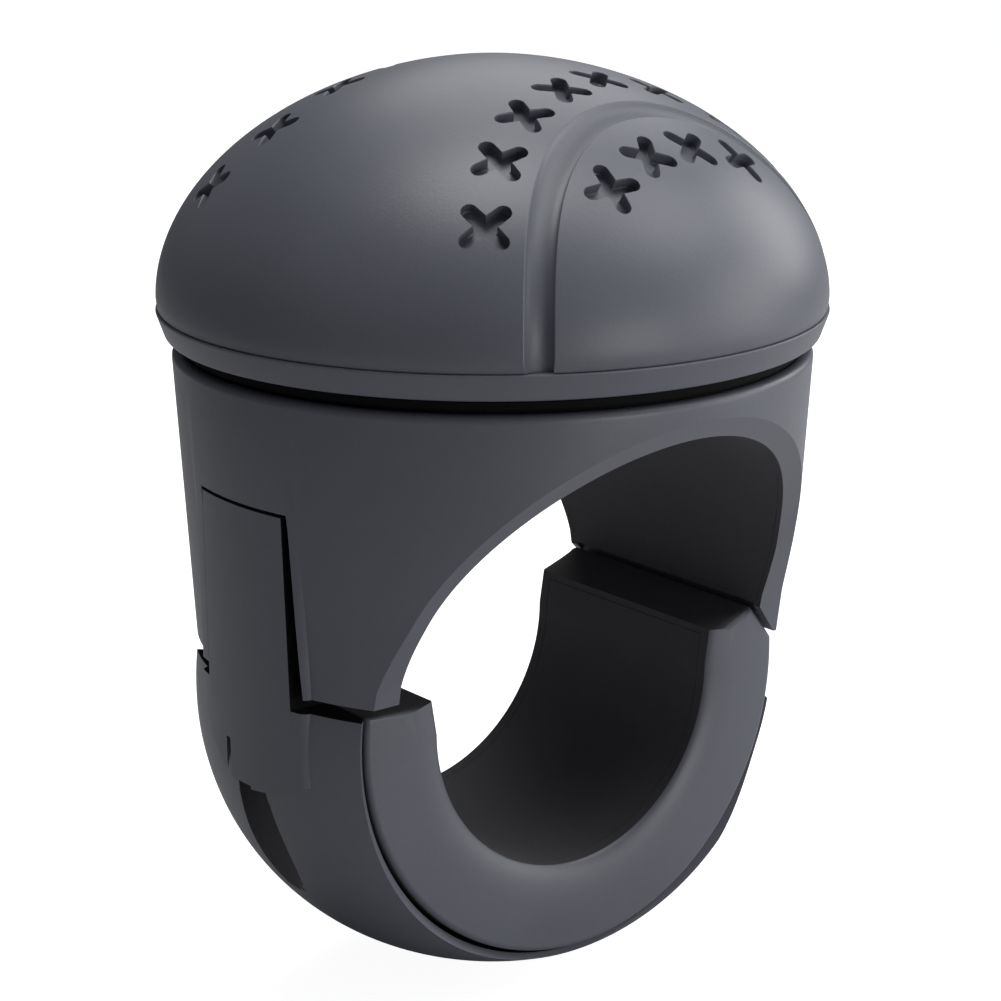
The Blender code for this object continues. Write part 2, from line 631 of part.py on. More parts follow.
def make_body_fittings():
    arch_shell("saddle_pad", ARCH_RADIUS, ARCH_RADIUS + PAD_THICKNESS, PAD_LIP + GAP, PAD_MARGIN,
               dark_rubber())
    low = BODY_TOP_Z + GAP
    high = low + GLIDE_THICKNESS
    key = (GLIDE_KEY_INNER_RADIUS + GAP, GLIDE_KEY_OUTER_RADIUS - GAP)
    key_low = BODY_TOP_Z - GLIDE_KEY_DEPTH + GAP
    outline = [(GLIDE_INNER_RADIUS, low), (key[0], low), (key[0], key_low), (key[1], key_low),
               (key[1], low), (GLIDE_OUTER_RADIUS, low), (GLIDE_OUTER_RADIUS, high),
               (GLIDE_INNER_RADIUS, high)]
    turned("glide_ring", outline, black_plastic(), 40)
    lengthwise_rod("hinge_pin", PIN_RADIUS, -SHOE_HALF_LENGTH + PIN_BLIND_END, SHOE_HALF_LENGTH - GAP,
                   (HINGE_X, HINGE_Z), steel())
    half = CLAMP_NUT_FLATS / 2
    hexagon = arc(half / cos(radians(30)), 30, 330, 5)
    outline = [(SCREW_X + x, y) for x, y in hexagon]
    nut = prism("clamp_nut", outline, nut_top() - CLAMP_NUT_HEIGHT, nut_top(), "Z", zinc_steel())
    combine(nut, rod("clamp_nut_hole", SCREW_RADIUS + GAP, TONGUE_TOP_Z, nut_top() + 1,
                     centre=(SCREW_X, 0.0), sides=10))


def nut_top():
    return TONGUE_TOP_Z + 2 * GAP + CLAMP_NUT_HEIGHT


# Lower jaw

def shoe_outline():
    """The crescent of the jaw seen from the front, with its hinge end sloping outward."""
    start = degrees(asin(JAW_TOP_Z / SHOE_RADIUS))
    shift = GAP / 2
    run = radians(HINGE_FACE_ANGLE + 90)
    nudge = (-shift * cos(run), -shift * sin(run))
    corner = (HINGE_CORNER[0] + nudge[0], HINGE_CORNER[1] + nudge[1])
    end = (hinge_face_end()[0] + nudge[0], hinge_face_end()[1] + nudge[1])
    hinge_start = degrees(atan2(end[1], end[0]))
    points = [(-BORE_HALF_WIDTH, JAW_TOP_Z)] + arc(BORE_RADIUS, 180, 360, 28)
    points += [(BORE_HALF_WIDTH, JAW_TOP_Z), corner, end]
    return points + arc(SHOE_RADIUS, hinge_start - 1, -180 - start, 32)


def make_jaw_shoe():
    shoe = prism("jaw_shoe", shoe_outline(), -SHOE_HALF_LENGTH, SHOE_HALF_LENGTH, "Y", slate_plastic())
    rim = shoe.modifiers.new("rim", "BEVEL")
    rim.width = SHOE_EDGE * MM
    rim.segments = 1
    rim.limit_method = "ANGLE"
    rim.angle_limit = radians(60)
    combine(shoe, bore_sheet("jaw_recess", -1.0, PAD_THICKNESS + GAP, PAD_LIP))
    swing = KNUCKLE_HALF_LENGTH + GAP
    combine(shoe, lengthwise_rod("knuckle_room", KNUCKLE_RADIUS + GAP, -swing, swing,
                                 (HINGE_X, HINGE_Z), sides=24))
    combine(shoe, box("neck_room", (HINGE_X, -swing, HINGE_Z - KNUCKLE_RADIUS - NECK_ROOM),
                      (2 * KNOB_RADIUS, swing, 2 * HINGE_CORNER[1])))
    combine(shoe, lengthwise_rod("pin_hole", PIN_RADIUS + GAP, -SHOE_HALF_LENGTH + PIN_BLIND_END - GAP,
                                 SHOE_HALF_LENGTH + 1, (HINGE_X, HINGE_Z)))
    combine(shoe, rod("shoe_pocket", POCKET_RADIUS, -2 * KNOB_RADIUS, BOSS_BOTTOM_Z,
                      centre=(POCKET_X, 0.0)))
    combine(shoe, rod("shoe_counterbore", SCREW_HEAD_RADIUS + 2 * GAP, BOSS_BOTTOM_Z - 1,
                      JAW_TOP_Z + 2, centre=(SCREW_X, 0.0)))
    for number, y in enumerate((-SHOE_SCREW_Y, SHOE_SCREW_Y)):
        combine(shoe, rod(f"shoe_hole_{number}", SHOE_SCREW_RADIUS + GAP, -2 * KNOB_RADIUS,
                          -BORE_RADIUS, centre=(0.0, y), sides=10))
        combine(shoe, rod(f"shoe_recess_{number}", SHOE_SCREW_HEAD_RADIUS + GAP,
                          shoe_screw_head() - SHOE_SCREW_HEAD - GAP, -BORE_RADIUS + 2,
                          centre=(0.0, y), sides=12))


def shoe_screw_head():
    return -(BORE_RADIUS + PAD_THICKNESS + 3 * GAP)


def bore_points(spread, top):
    """The bore's U from one side over the bottom to the other, moved outward by spread."""
    side = BORE_RADIUS + spread + (BORE_HALF_WIDTH - BORE_RADIUS) * top / JAW_TOP_Z
    return [(-side, top)] + arc(BORE_RADIUS + spread, 180, 360, 26) + [(side, top)]


def bore_sheet(name, inner, outer, inset, look=None):
    """A sheet lining the bore, which stops short of its ends and its mouth by inset."""
    half = SHOE_HALF_LENGTH - inset
    top = JAW_TOP_Z - inset
    return prism(name, bore_points(inner, top) + bore_points(outer, top)[::-1], -half, half, "Y", look)


def make_jaw_strap():
    """The outer shell: a band of a ball around the shoe, with the latch boss and tongue."""
    reach = STRAP_HALF_LENGTH
    over = JAW_TOP_Z + 4
    ball = [(0.0, -STRAP_RADIUS)] + arc(STRAP_RADIUS, -82, degrees(asin(over / STRAP_RADIUS)), 10)
    ball.append((0.0, over))
    strap = turned("jaw_strap", ball, slate_plastic())
    inner = SHOE_RADIUS + STRAP_GROOVE
    far = 3 * KNOB_RADIUS
    run = radians(STRAP_END_ANGLE)
    lean = HINGE_X * cos(run) + HINGE_Z * sin(run)
    reach_out = sqrt(lean ** 2 + inner ** 2 - HINGE_X ** 2 - HINGE_Z ** 2) - lean
    last = (HINGE_X + reach_out * cos(run), HINGE_Z + reach_out * sin(run))
    start = 180 - degrees(asin(JAW_TOP_Z / inner))
    keep = [(-far, JAW_TOP_Z)] + arc(inner, start, 360 + degrees(atan2(last[1], last[0])), 28)
    keep += [(HINGE_X + far * cos(run), HINGE_Z + far * sin(run)), (-far, -far)]
    combine(strap, prism("strap_band", keep, -reach, reach), "INTERSECT")
    plan = column_outline(-(ARCH_RADIUS + COLUMN_ROOT))
    combine(strap, prism("strap_boss", plan, BOSS_BOTTOM_Z, JAW_TOP_Z, "Z"), "UNION")
    edge = degrees(asin(TONGUE_HALF_WIDTH / COLUMN_RADIUS))
    plan = arc(COLUMN_RADIUS, 180 - edge, 180 + edge, 8)
    plan += [(TONGUE_INNER_X, -TONGUE_HALF_WIDTH), (TONGUE_INNER_X, TONGUE_HALF_WIDTH)]
    combine(strap, prism("tongue", plan, JAW_TOP_Z - TONGUE_ROOT, TONGUE_TOP_Z, "Z"), "UNION")
    foot = JAW_TOP_Z - TONGUE_ROOT - GAP
    combine(strap, box("shoe_room", (-(SHOE_RADIUS + GAP), -TONGUE_HALF_WIDTH - 1, foot),
                       (-ARCH_RADIUS, TONGUE_HALF_WIDTH + 1, JAW_TOP_Z + GAP)))
    combine(strap, rod("strap_screw_hole", SCREW_RADIUS + GAP, COUNTERBORE_TOP_Z - 1, TONGUE_TOP_Z + 2,
                       centre=(SCREW_X, 0.0), sides=10))
    combine(strap, rod("strap_counterbore", SCREW_HEAD_RADIUS + GAP, BOSS_BOTTOM_Z - 2, COUNTERBORE_TOP_Z,
                       centre=(SCREW_X, 0.0)))
    combine(strap, rod("strap_pocket", POCKET_RADIUS, -2 * KNOB_RADIUS, BOSS_BOTTOM_Z + GAP,
                       centre=(POCKET_X, 0.0)))
    for number, y in enumerate((-SHOE_SCREW_Y, SHOE_SCREW_Y)):
        combine(strap, rod(f"strap_hole_{number}", SHOE_SCREW_RADIUS + GAP, -STRAP_RADIUS + SHOE_SCREW_SKIN,
                           -SHOE_RADIUS + 2, centre=(0.0, y), sides=10))


def make_jaw_fittings():
    bore_sheet("jaw_pad", 0.0, PAD_THICKNESS, PAD_LIP + GAP, dark_rubber())
    head = shoe_screw_head()
    neck = head - SHOE_SCREW_HEAD
    tip = -STRAP_RADIUS + SHOE_SCREW_SKIN + GAP
    for number, y in enumerate((-SHOE_SCREW_Y, SHOE_SCREW_Y)):
        outline = [(0.0, tip), (SHOE_SCREW_RADIUS, tip), (SHOE_SCREW_RADIUS, neck),
                   (SHOE_SCREW_HEAD_RADIUS, neck), (SHOE_SCREW_HEAD_RADIUS, head), (0.0, head)]
        turned(f"shoe_screw_{number + 1}", outline, steel(), 10, (0.0, y))
    washer_top = COUNTERBORE_TOP_Z - GAP
    head_top = washer_top - SCREW_WASHER - GAP
    tube("screw_washer", SCREW_RADIUS + GAP, SCREW_HEAD_RADIUS, washer_top - SCREW_WASHER, washer_top,
         zinc_steel(), 20, (SCREW_X, 0.0))
    head_low = head_top - SCREW_HEAD
    outline = [(0.0, head_low), (SCREW_HEAD_RADIUS, head_low), (SCREW_HEAD_RADIUS, head_top),
               (SCREW_RADIUS, head_top), (SCREW_RADIUS, SCREW_TIP_Z), (0.0, SCREW_TIP_Z)]
    screw = turned("clamp_screw", outline, steel(), 20, (SCREW_X, 0.0))
    socket = [(SCREW_X + x, y) for x, y in arc(SOCKET_RADIUS, 0, 300, 5)]
    combine(screw, prism("screw_socket", socket, head_low - 1, head_low + SOCKET_DEPTH, "Z"))


def main():
    clear_scene()
    make_dome_cap()
    make_knob_base()
    make_knob_screws()
    make_spindle()
    make_bearing()
    make_clamp_body()
    make_body_fittings()
    make_jaw_shoe()
    make_jaw_strap()
    make_jaw_fittings()


main()
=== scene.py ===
"""The finish of a steering wheel spinner knob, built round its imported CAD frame."""
import json
from math import asin, atan2, cos, degrees, pi, radians, sin, sqrt

import bmesh
import bpy
from mathutils import Euler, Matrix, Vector


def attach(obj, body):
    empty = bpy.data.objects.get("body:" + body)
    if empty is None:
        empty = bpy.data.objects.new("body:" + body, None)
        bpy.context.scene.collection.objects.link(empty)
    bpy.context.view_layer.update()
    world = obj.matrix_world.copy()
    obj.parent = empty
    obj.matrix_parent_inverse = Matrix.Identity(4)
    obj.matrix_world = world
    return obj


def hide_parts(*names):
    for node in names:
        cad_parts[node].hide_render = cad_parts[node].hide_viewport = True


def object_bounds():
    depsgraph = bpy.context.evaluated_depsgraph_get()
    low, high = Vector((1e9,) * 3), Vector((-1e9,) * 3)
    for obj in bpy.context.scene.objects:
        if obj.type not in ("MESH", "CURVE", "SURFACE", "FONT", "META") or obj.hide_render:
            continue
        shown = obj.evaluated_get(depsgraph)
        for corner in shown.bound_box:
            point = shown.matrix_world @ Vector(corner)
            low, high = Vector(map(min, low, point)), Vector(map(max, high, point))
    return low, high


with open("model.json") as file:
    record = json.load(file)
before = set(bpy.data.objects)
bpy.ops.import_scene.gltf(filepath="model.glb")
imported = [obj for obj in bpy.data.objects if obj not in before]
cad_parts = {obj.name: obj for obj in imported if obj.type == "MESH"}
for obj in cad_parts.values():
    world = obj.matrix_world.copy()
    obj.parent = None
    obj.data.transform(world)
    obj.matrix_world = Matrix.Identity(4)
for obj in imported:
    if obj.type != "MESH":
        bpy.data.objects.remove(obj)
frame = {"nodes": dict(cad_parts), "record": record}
frame_box = [list(corner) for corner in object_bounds()]


# Studio
# The knob stands on a pale floor under soft lamps overhead, on the right and behind, so that
# its left side falls dark. The camera has a long lens and looks slightly down. All in metres.
CAMERA_PLACE = (-0.15279, -0.19294, 0.08374)
CAMERA_AZIMUTH = -38.535
CAMERA_ELEVATION = 15.55
CAMERA_LENS = 104.03
FLOOR_RADIUS = 1.6
FLOOR_GAP = 0.0004
FLOOR_GLOW = 0.93
FILL_LIGHT = 0.09
LAMP_TARGET = (0.0, 0.0, 0.02)
LAMPS = (("overhead", (0.0, 0.0, 0.52), 0.30, 1.33),
         ("high_right", (0.235, -0.187, 0.42), 0.30, 0.75),
         ("right", (0.391, -0.311, 0.095), 0.30, 0.62),
         ("right_behind", (0.484, -0.034, 0.195), 0.30, 0.70),
         ("behind", (0.257, 0.243, 0.37), 0.40, 0.65),
         ("low_right", (0.056, -0.492, 0.01), 0.25, 0.70))


def lamp(name, place, size, power):
    """A soft round lamp that looks at the middle of the object."""
    light = bpy.data.lights.new(name, "AREA")
    light.shape = "DISK"
    light.size = size
    light.energy = power
    holder = bpy.data.objects.new(name, light)
    bpy.context.scene.collection.objects.link(holder)
    holder.location = place
    toward = Vector(LAMP_TARGET) - Vector(place)
    holder.rotation_euler = toward.to_track_quat("-Z", "Y").to_euler()


def make_camera():
    """A long lens at the photograph's viewing angle."""
    data = bpy.data.cameras.new("camera")
    data.sensor_width = 36.0
    data.lens = CAMERA_LENS
    holder = bpy.data.objects.new("camera", data)
    bpy.context.scene.collection.objects.link(holder)
    holder.location = CAMERA_PLACE
    azimuth = radians(CAMERA_AZIMUTH)
    elevation = radians(CAMERA_ELEVATION)
    holder.rotation_euler = Euler((pi / 2 - elevation, 0.0, azimuth))
    data.clip_start = 0.01
    data.clip_end = 10.0
    bpy.context.scene.camera = holder


def make_floor():
    """A wide pale disc that looks white to the camera and keeps the object's faint shadow."""
    disc = bmesh.new()
    level = frame_box[0][2] - FLOOR_GAP
    bmesh.ops.create_circle(disc, cap_ends=True, segments=96, radius=FLOOR_RADIUS)
    bmesh.ops.translate(disc, verts=disc.verts, vec=(0.0, 0.0, level))
    mesh = bpy.data.meshes.new("floor")
    disc.to_mesh(mesh)
    disc.free()
    floor = bpy.data.objects.new("floor", mesh)
    bpy.context.scene.collection.objects.link(floor)
    paint = bpy.data.materials.new("pale_floor")
    paint.use_nodes = True
    links = paint.node_tree.links
    shader = paint.node_tree.nodes["Principled BSDF"]
    shader.inputs["Base Color"].default_value = (0.5, 0.5, 0.505, 1.0)
    shader.inputs["Roughness"].default_value = 0.9
    glow = paint.node_tree.nodes.new("ShaderNodeEmission")
    glow.inputs["Strength"].default_value = FLOOR_GLOW
    rays = paint.node_tree.nodes.new("ShaderNodeLightPath")
    both = paint.node_tree.nodes.new("ShaderNodeAddShader")
    dim = paint.node_tree.nodes.new("ShaderNodeMixShader")
    empty = paint.node_tree.nodes.new("ShaderNodeEmission")
    empty.inputs["Strength"].default_value = 0.0
    links.new(rays.outputs["Is Camera Ray"], dim.inputs[0])
    links.new(empty.outputs[0], dim.inputs[1])
    links.new(glow.outputs[0], dim.inputs[2])
    links.new(shader.outputs[0], both.inputs[0])
    links.new(dim.outputs[0], both.inputs[1])
    links.new(both.outputs[0], paint.node_tree.nodes["Material Output"].inputs["Surface"])
    mesh.materials.append(paint)


def make_world():
    """A faint cool fill from all round, and plain white where the camera looks past the floor."""
    world = bpy.data.worlds.new("studio")
    bpy.context.scene.world = world
    world.use_nodes = True
    nodes = world.node_tree.nodes
    links = world.node_tree.links
    fill = nodes["Background"]
    fill.inputs["Color"].default_value = (0.9, 0.93, 1.0, 1.0)
    fill.inputs["Strength"].default_value = FILL_LIGHT
    seen = nodes.new("ShaderNodeBackground")
    seen.inputs["Color"].default_value = (1.0, 1.0, 1.0, 1.0)
    seen.inputs["Strength"].default_value = 1.0
    rays = nodes.new("ShaderNodeLightPath")
    pick = nodes.new("ShaderNodeMixShader")
    links.new(rays.outputs["Is Camera Ray"], pick.inputs[0])
    links.new(fill.outputs[0], pick.inputs[1])
    links.new(seen.outputs[0], pick.inputs[2])
    links.new(pick.outputs[0], nodes["World Output"].inputs["Surface"])


make_camera()
make_floor()
make_world()
for lamp_values in LAMPS:
    lamp(*lamp_values)
bpy.context.scene.view_settings.view_transform = "Standard"


# Grip cap
# The domed cap is one injection-moulded shell of slate grey plastic with a fine satin grain.
# Two curved seam grooves and rows of crossed stitch pits are sunk in it by the mould, the pits
# at the (distance, angle) pairs below, taken from a point beside the knob. In millimetres.
CAP_RADIUS = 29.0
CAP_WIDEST_Z = 34.3
CAP_RISE = 20.1
CAP_POWER = 1.9
PARTING_Z = 33.3
PARTING_RADIUS = 28.85
CAP_WALL = 2.6
SEAM_DISTANCE = 41.9
SEAM_TURN = 8.5
SEAM_RADIUS = 27.0
SEAM_HALF_WIDTH = 1.12
SEAM_DEPTH = 0.9
SEAM_SKEW = 0.35
SEAM_FULLNESS = 0.9
SEAM_STEPS = 150
SEAM_ON_SKIN = 0.94
SEAM_END_DROP = 50.0
STITCH_CENTRE = 40.4
OUTER_STITCHES = ((30.0, -38.5), (30.4, -27.5), (30.9, -16.5), (31.1, -5.4),
                  (30.15, 5.3), (30.0, 16.8), (30.0, 27.9), (30.2, 37.7))
INNER_STITCHES = ((21.4, -22.2), (20.7, -6.8), (20.7, 8.2), (21.3, 23.4))
FAR_STITCHES = ((35.2, -37.0), (35.0, -28.0), (32.9, -17.0))
STITCH_REACH = 1.9
STITCH_HALF_WIDTH = 0.66
STITCH_DEPTH = 1.15
STITCH_EASE = 0.1
PARTING_GAP = 0.03
LIP_EASE = ((-0.04, 0.0), (0.02, 0.1))
SHOULDER = (-0.05, -0.45)
CAP_SIDES = 288
GRAIN_RELIEF = 0.00005
MM = 0.001


def fine_grain():
    """Shader group: the fine spark-eroded grain of a mould, slight tone drift and rubbed patches."""
    group = bpy.data.node_groups.new("moulded_grain", "ShaderNodeTree")
    face = group.interface
    for name, kind, value in (("Tone", "NodeSocketColor", (0.1, 0.1, 0.1, 1.0)),
                              ("Grain Scale", "NodeSocketFloat", 4200.0),
                              ("Roughness", "NodeSocketFloat", 0.4),
                              ("Drift", "NodeSocketFloat", 0.08)):
        socket = face.new_socket(name=name, in_out="INPUT", socket_type=kind)
        socket.default_value = value
    for name, kind in (("Color", "NodeSocketColor"), ("Roughness", "NodeSocketFloat"),
                       ("Height", "NodeSocketFloat")):
        face.new_socket(name=name, in_out="OUTPUT", socket_type=kind)
    nodes = group.nodes
    links = group.links
    entry = nodes.new("NodeGroupInput")
    leave = nodes.new("NodeGroupOutput")
    where = nodes.new("ShaderNodeTexCoord")
    pits = nodes.new("ShaderNodeTexNoise")
    pits.inputs["Detail"].default_value = 3.0
    pits.inputs["Roughness"].default_value = 0.6
    drift = nodes.new("ShaderNodeTexNoise")
    drift.inputs["Scale"].default_value = 55.0
    drift.inputs["Detail"].default_value = 4.0
    links.new(where.outputs["Object"], pits.inputs["Vector"])
    links.new(where.outputs["Object"], drift.inputs["Vector"])
    links.new(entry.outputs["Grain Scale"], pits.inputs["Scale"])
    spread = nodes.new("ShaderNodeMath")
    spread.operation = "SUBTRACT"
    spread.inputs[1].default_value = 0.5
    links.new(drift.outputs["Fac"], spread.inputs[0])
    amount = nodes.new("ShaderNodeMath")
    amount.operation = "MULTIPLY"
    links.new(spread.outputs[0], amount.inputs[0])
    links.new(entry.outputs["Drift"], amount.inputs[1])
    gain = nodes.new("ShaderNodeMath")
    gain.operation = "MULTIPLY_ADD"
    gain.inputs[1].default_value = 6.0
    gain.inputs[2].default_value = 1.0
    links.new(amount.outputs[0], gain.inputs[0])
    speck = nodes.new("ShaderNodeMapRange")
    speck.inputs["To Min"].default_value = 0.93
    speck.inputs["To Max"].default_value = 1.07
    links.new(pits.outputs["Fac"], speck.inputs["Value"])
    level = nodes.new("ShaderNodeMath")
    level.operation = "MULTIPLY"
    links.new(gain.outputs[0], level.inputs[0])
    links.new(speck.outputs["Result"], level.inputs[1])
    tone = nodes.new("ShaderNodeVectorMath")
    tone.operation = "SCALE"
    links.new(entry.outputs["Tone"], tone.inputs[0])
    links.new(level.outputs[0], tone.inputs["Scale"])
    sheen = nodes.new("ShaderNodeMath")
    sheen.operation = "MULTIPLY_ADD"
    sheen.inputs[1].default_value = 1.5
    links.new(amount.outputs[0], sheen.inputs[0])
    links.new(entry.outputs["Roughness"], sheen.inputs[2])
    links.new(tone.outputs[0], leave.inputs["Color"])
    links.new(sheen.outputs[0], leave.inputs["Roughness"])
    links.new(pits.outputs["Fac"], leave.inputs["Height"])
    return group


GRAIN = fine_grain()


def grained(name, tone, roughness, scale, bump, drift, metallic=0.0, specular=0.5):
    """A material whose colour, roughness and relief come from the grain group."""
    made = bpy.data.materials.new(name)
    made.use_nodes = True
    nodes = made.node_tree.nodes
    links = made.node_tree.links
    shader = nodes["Principled BSDF"]
    shader.inputs["Metallic"].default_value = metallic
    shader.inputs["Specular IOR Level"].default_value = specular
    grain = nodes.new("ShaderNodeGroup")
    grain.node_tree = GRAIN
    grain.inputs["Tone"].default_value = (*tone, 1.0)
    grain.inputs["Grain Scale"].default_value = scale
    grain.inputs["Roughness"].default_value = roughness
    grain.inputs["Drift"].default_value = drift
    relief = nodes.new("ShaderNodeBump")
    relief.inputs["Strength"].default_value = bump
    relief.inputs["Distance"].default_value = GRAIN_RELIEF
    links.new(grain.outputs["Color"], shader.inputs["Base Color"])
    links.new(grain.outputs["Roughness"], shader.inputs["Roughness"])
    links.new(grain.outputs["Height"], relief.inputs["Height"])
    links.new(relief.outputs["Normal"], shader.inputs["Normal"])
    return made


SLATE = grained("slate_satin_plastic", (0.118, 0.124, 0.148), 0.40, 4200.0, 0.25, 0.06)


def cap_height(radius, sunk=0.0):
    """Height of the cap's skin, or of a copy of it sunk by some depth, at a plan radius."""
    share = min(1.0, radius / (CAP_RADIUS - sunk))
    return CAP_WIDEST_Z + (CAP_RISE - sunk) * (1 - share ** CAP_POWER) ** (1 / CAP_POWER)


def seam_frames(distance):
    """The two centres that the seams curve round, and the direction from each to the knob's axis."""
    for half in (0, 1):
        turn = radians(-90 + SEAM_TURN + 180 * half)
        yield Vector((cos(turn), sin(turn), 0.0)) * distance, turn + pi


def sheath(rings):
    """A closed skin through rings of points that match one for one."""
    shape = bmesh.new()
    made = [[shape.verts.new(point) for point in ring] for ring in rings]
    shape.faces.new(made[0])
    shape.faces.new(made[-1])
    for near, far in zip(made, made[1:]):
        for i in range(len(near)):
            shape.faces.new((near[i - 1], near[i], far[i], far[i - 1]))
    bmesh.ops.recalc_face_normals(shape, faces=shape.faces)
    return shape


def seam_section():
    """The groove's round section as (sideways, depth) points, its two rims eased."""
    rim = ((0.17, -0.9), (0.17, -0.015), (0.10, 0.015), (0.04, 0.07), (0.0, 0.16))
    left = [(-SEAM_HALF_WIDTH - out, deep) for out, deep in rim]
    start = rim[-1][1]
    bowl = []
    for i in range(1, 18):
        turn = pi * i / 18
        side = -SEAM_HALF_WIDTH * cos(turn) - SEAM_SKEW * sin(turn)
        bowl.append((side, start + (SEAM_DEPTH - start) * sin(turn) ** SEAM_FULLNESS))
    return left + bowl + [(-x, deep) for x, deep in reversed(left)]


def seam_tool(centre, inward):
    """The groove as a solid that follows the cap from rim to rim and runs out below it."""
    section = seam_section()
    rings = []
    for number in range(-SEAM_STEPS, SEAM_STEPS + 1):
        run = number / SEAM_STEPS
        ring = []
        for side, deep in section:
            out = SEAM_RADIUS + side
            bare = CAP_RADIUS - deep
            edge = (SEAM_DISTANCE ** 2 + out ** 2 - bare ** 2) / (2 * SEAM_DISTANCE * out)
            widest = atan2(sqrt(1 - edge ** 2), edge)
            share = max(-1.0, min(1.0, run / SEAM_ON_SKIN))
            turn = inward + widest * sin(share * pi / 2)
            spot = centre + Vector((cos(turn), sin(turn), 0.0)) * out
            spot.z = cap_height(min(spot.length, bare), deep)
            if abs(run) > SEAM_ON_SKIN:
                spot.z = CAP_WIDEST_Z - (abs(run) - SEAM_ON_SKIN) * SEAM_END_DROP
            ring.append(spot)
        rings.append(ring)
    return sheath(rings)


def cross_outline(spread):
    """A stitch from above: two crossed bars with round ends, grown by spread."""
    half = STITCH_HALF_WIDTH + spread
    points = []
    for arm in range(4):
        middle = radians(45 + 90 * arm)
        for i in range(13):
            turn = middle - pi / 2 + pi * i / 12
            points.append((STITCH_REACH * cos(middle) + half * cos(turn),
                           STITCH_REACH * sin(middle) + half * sin(turn)))
        points.append((half * sqrt(2) * cos(middle + pi / 4), half * sqrt(2) * sin(middle + pi / 4)))
    return points


def stitch_tool():
    """All the stitch pits in one mesh, each sunk square to the skin, with an eased rim."""
    whole = bmesh.new()
    wall = ((0.10, -1.4), (0.10, 0.0), (0.04, 0.06), (0.0, 0.16),
            (0.0, STITCH_DEPTH - STITCH_EASE), (-STITCH_EASE, STITCH_DEPTH))
    half_step = 0.05
    rows = (OUTER_STITCHES, FAR_STITCHES + OUTER_STITCHES[len(FAR_STITCHES):])
    for row, (centre, inward) in zip(rows, seam_frames(STITCH_CENTRE)):
        for radius, degrees_round in row + INNER_STITCHES:
            turn = inward + radians(degrees_round)
            heading = Vector((cos(turn), sin(turn), 0.0))
            spot = centre + heading * radius
            flat = spot.length
            slope = (cap_height(flat + half_step) - cap_height(flat - half_step)) / (2 * half_step)
            up = Vector((-slope * spot.x / flat, -slope * spot.y / flat, 1.0)).normalized()
            spot.z = cap_height(flat)
            across = up.cross(heading).normalized()
            along = across.cross(up)
            rings = []
            for spread, deep in wall:
                rings.append([spot + along * a + across * b - up * deep
                              for a, b in cross_outline(spread)])
            pit = sheath(rings)
            mesh = bpy.data.meshes.new("pit")
            pit.to_mesh(mesh)
            pit.free()
            whole.from_mesh(mesh)
            bpy.data.meshes.remove(mesh)
    return whole


def turned(outline, sides=240, centre=(0.0, 0.0)):
    """Spin a closed outline of (radius, z) points about a vertical line."""
    shape = bmesh.new()
    rings = []
    for radius, z in outline:
        if radius < 1e-6:
            rings.append([shape.verts.new((centre[0], centre[1], z))] * sides)
            continue
        rings.append([shape.verts.new((centre[0] + radius * cos(2 * pi * (i + 0.5) / sides),
                                       centre[1] + radius * sin(2 * pi * (i + 0.5) / sides), z))
                      for i in range(sides)])
    for number, ring in enumerate(rings):
        last = rings[number - 1]
        for i in range(sides):
            corners = list(dict.fromkeys((last[i - 1], last[i], ring[i], ring[i - 1])))
            if len(corners) > 2:
                shape.faces.new(corners)
    bmesh.ops.recalc_face_normals(shape, faces=shape.faces)
    return shape


def carve(shape, steps):
    """Apply (operation, tool) Booleans to a bmesh and hand back the result."""
    made = []
    for number, tool in enumerate([shape] + [tool for _, tool in steps]):
        mesh = bpy.data.meshes.new(f"carve_{number}")
        tool.to_mesh(mesh)
        tool.free()
        holder = bpy.data.objects.new(f"carve_{number}", mesh)
        bpy.context.scene.collection.objects.link(holder)
        made.append(holder)
    for (operation, _), tool in zip(steps, made[1:]):
        cut = made[0].modifiers.new("cut", "BOOLEAN")
        cut.operation = operation
        cut.solver = "EXACT"
        cut.object = tool
    result = bmesh.new()
    result.from_object(made[0], bpy.context.evaluated_depsgraph_get())
    for holder in made:
        mesh = holder.data
        bpy.data.objects.remove(holder)
        bpy.data.meshes.remove(mesh)
    return result


def dome_section(sunk, steps):
    """The dome's curve from its widest ring to its top, or that of a copy sunk by some depth."""
    points = []
    for i in range(steps):
        turn = radians(90 * i / steps)
        radius = (CAP_RADIUS - sunk) * cos(turn) ** (2 / CAP_POWER)
        points.append((radius, CAP_WIDEST_Z + (CAP_RISE - sunk) * sin(turn) ** (2 / CAP_POWER)))
    return points + [(0.0, CAP_WIDEST_Z + CAP_RISE - sunk)]


def make_cap():
    """The shell turned in one piece, then cut by both seams and all the stitches."""
    low = PARTING_Z + PARTING_GAP
    outline = [(PARTING_RADIUS + out, low + up) for out, up in LIP_EASE]
    outline.append((CAP_RADIUS + SHOULDER[0], CAP_WIDEST_Z + SHOULDER[1]))
    outline += dome_section(0.0, 64) + dome_section(CAP_WALL, 24)[::-1]
    outline.append((CAP_RADIUS - CAP_WALL, low))
    steps = [("DIFFERENCE", seam_tool(*seam_frame)) for seam_frame in seam_frames(SEAM_DISTANCE)]
    return carve(turned(outline, CAP_SIDES), steps + [("DIFFERENCE", stitch_tool())])


def piece(name, shape, look, body, nodes, crease=24.0):
    """Store a millimetre bmesh as a metre object that stands for CAD nodes and rides a body."""
    bmesh.ops.scale(shape, vec=(MM, MM, MM), verts=shape.verts)
    mesh = bpy.data.meshes.new(name)
    shape.to_mesh(mesh)
    shape.free()
    mesh.materials.append(look)
    mesh.shade_smooth()
    mesh.set_sharp_from_angle(angle=radians(crease))
    made = bpy.data.objects.new(name, mesh)
    bpy.context.scene.collection.objects.link(made)
    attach(made, body)
    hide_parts(*nodes)
    return made


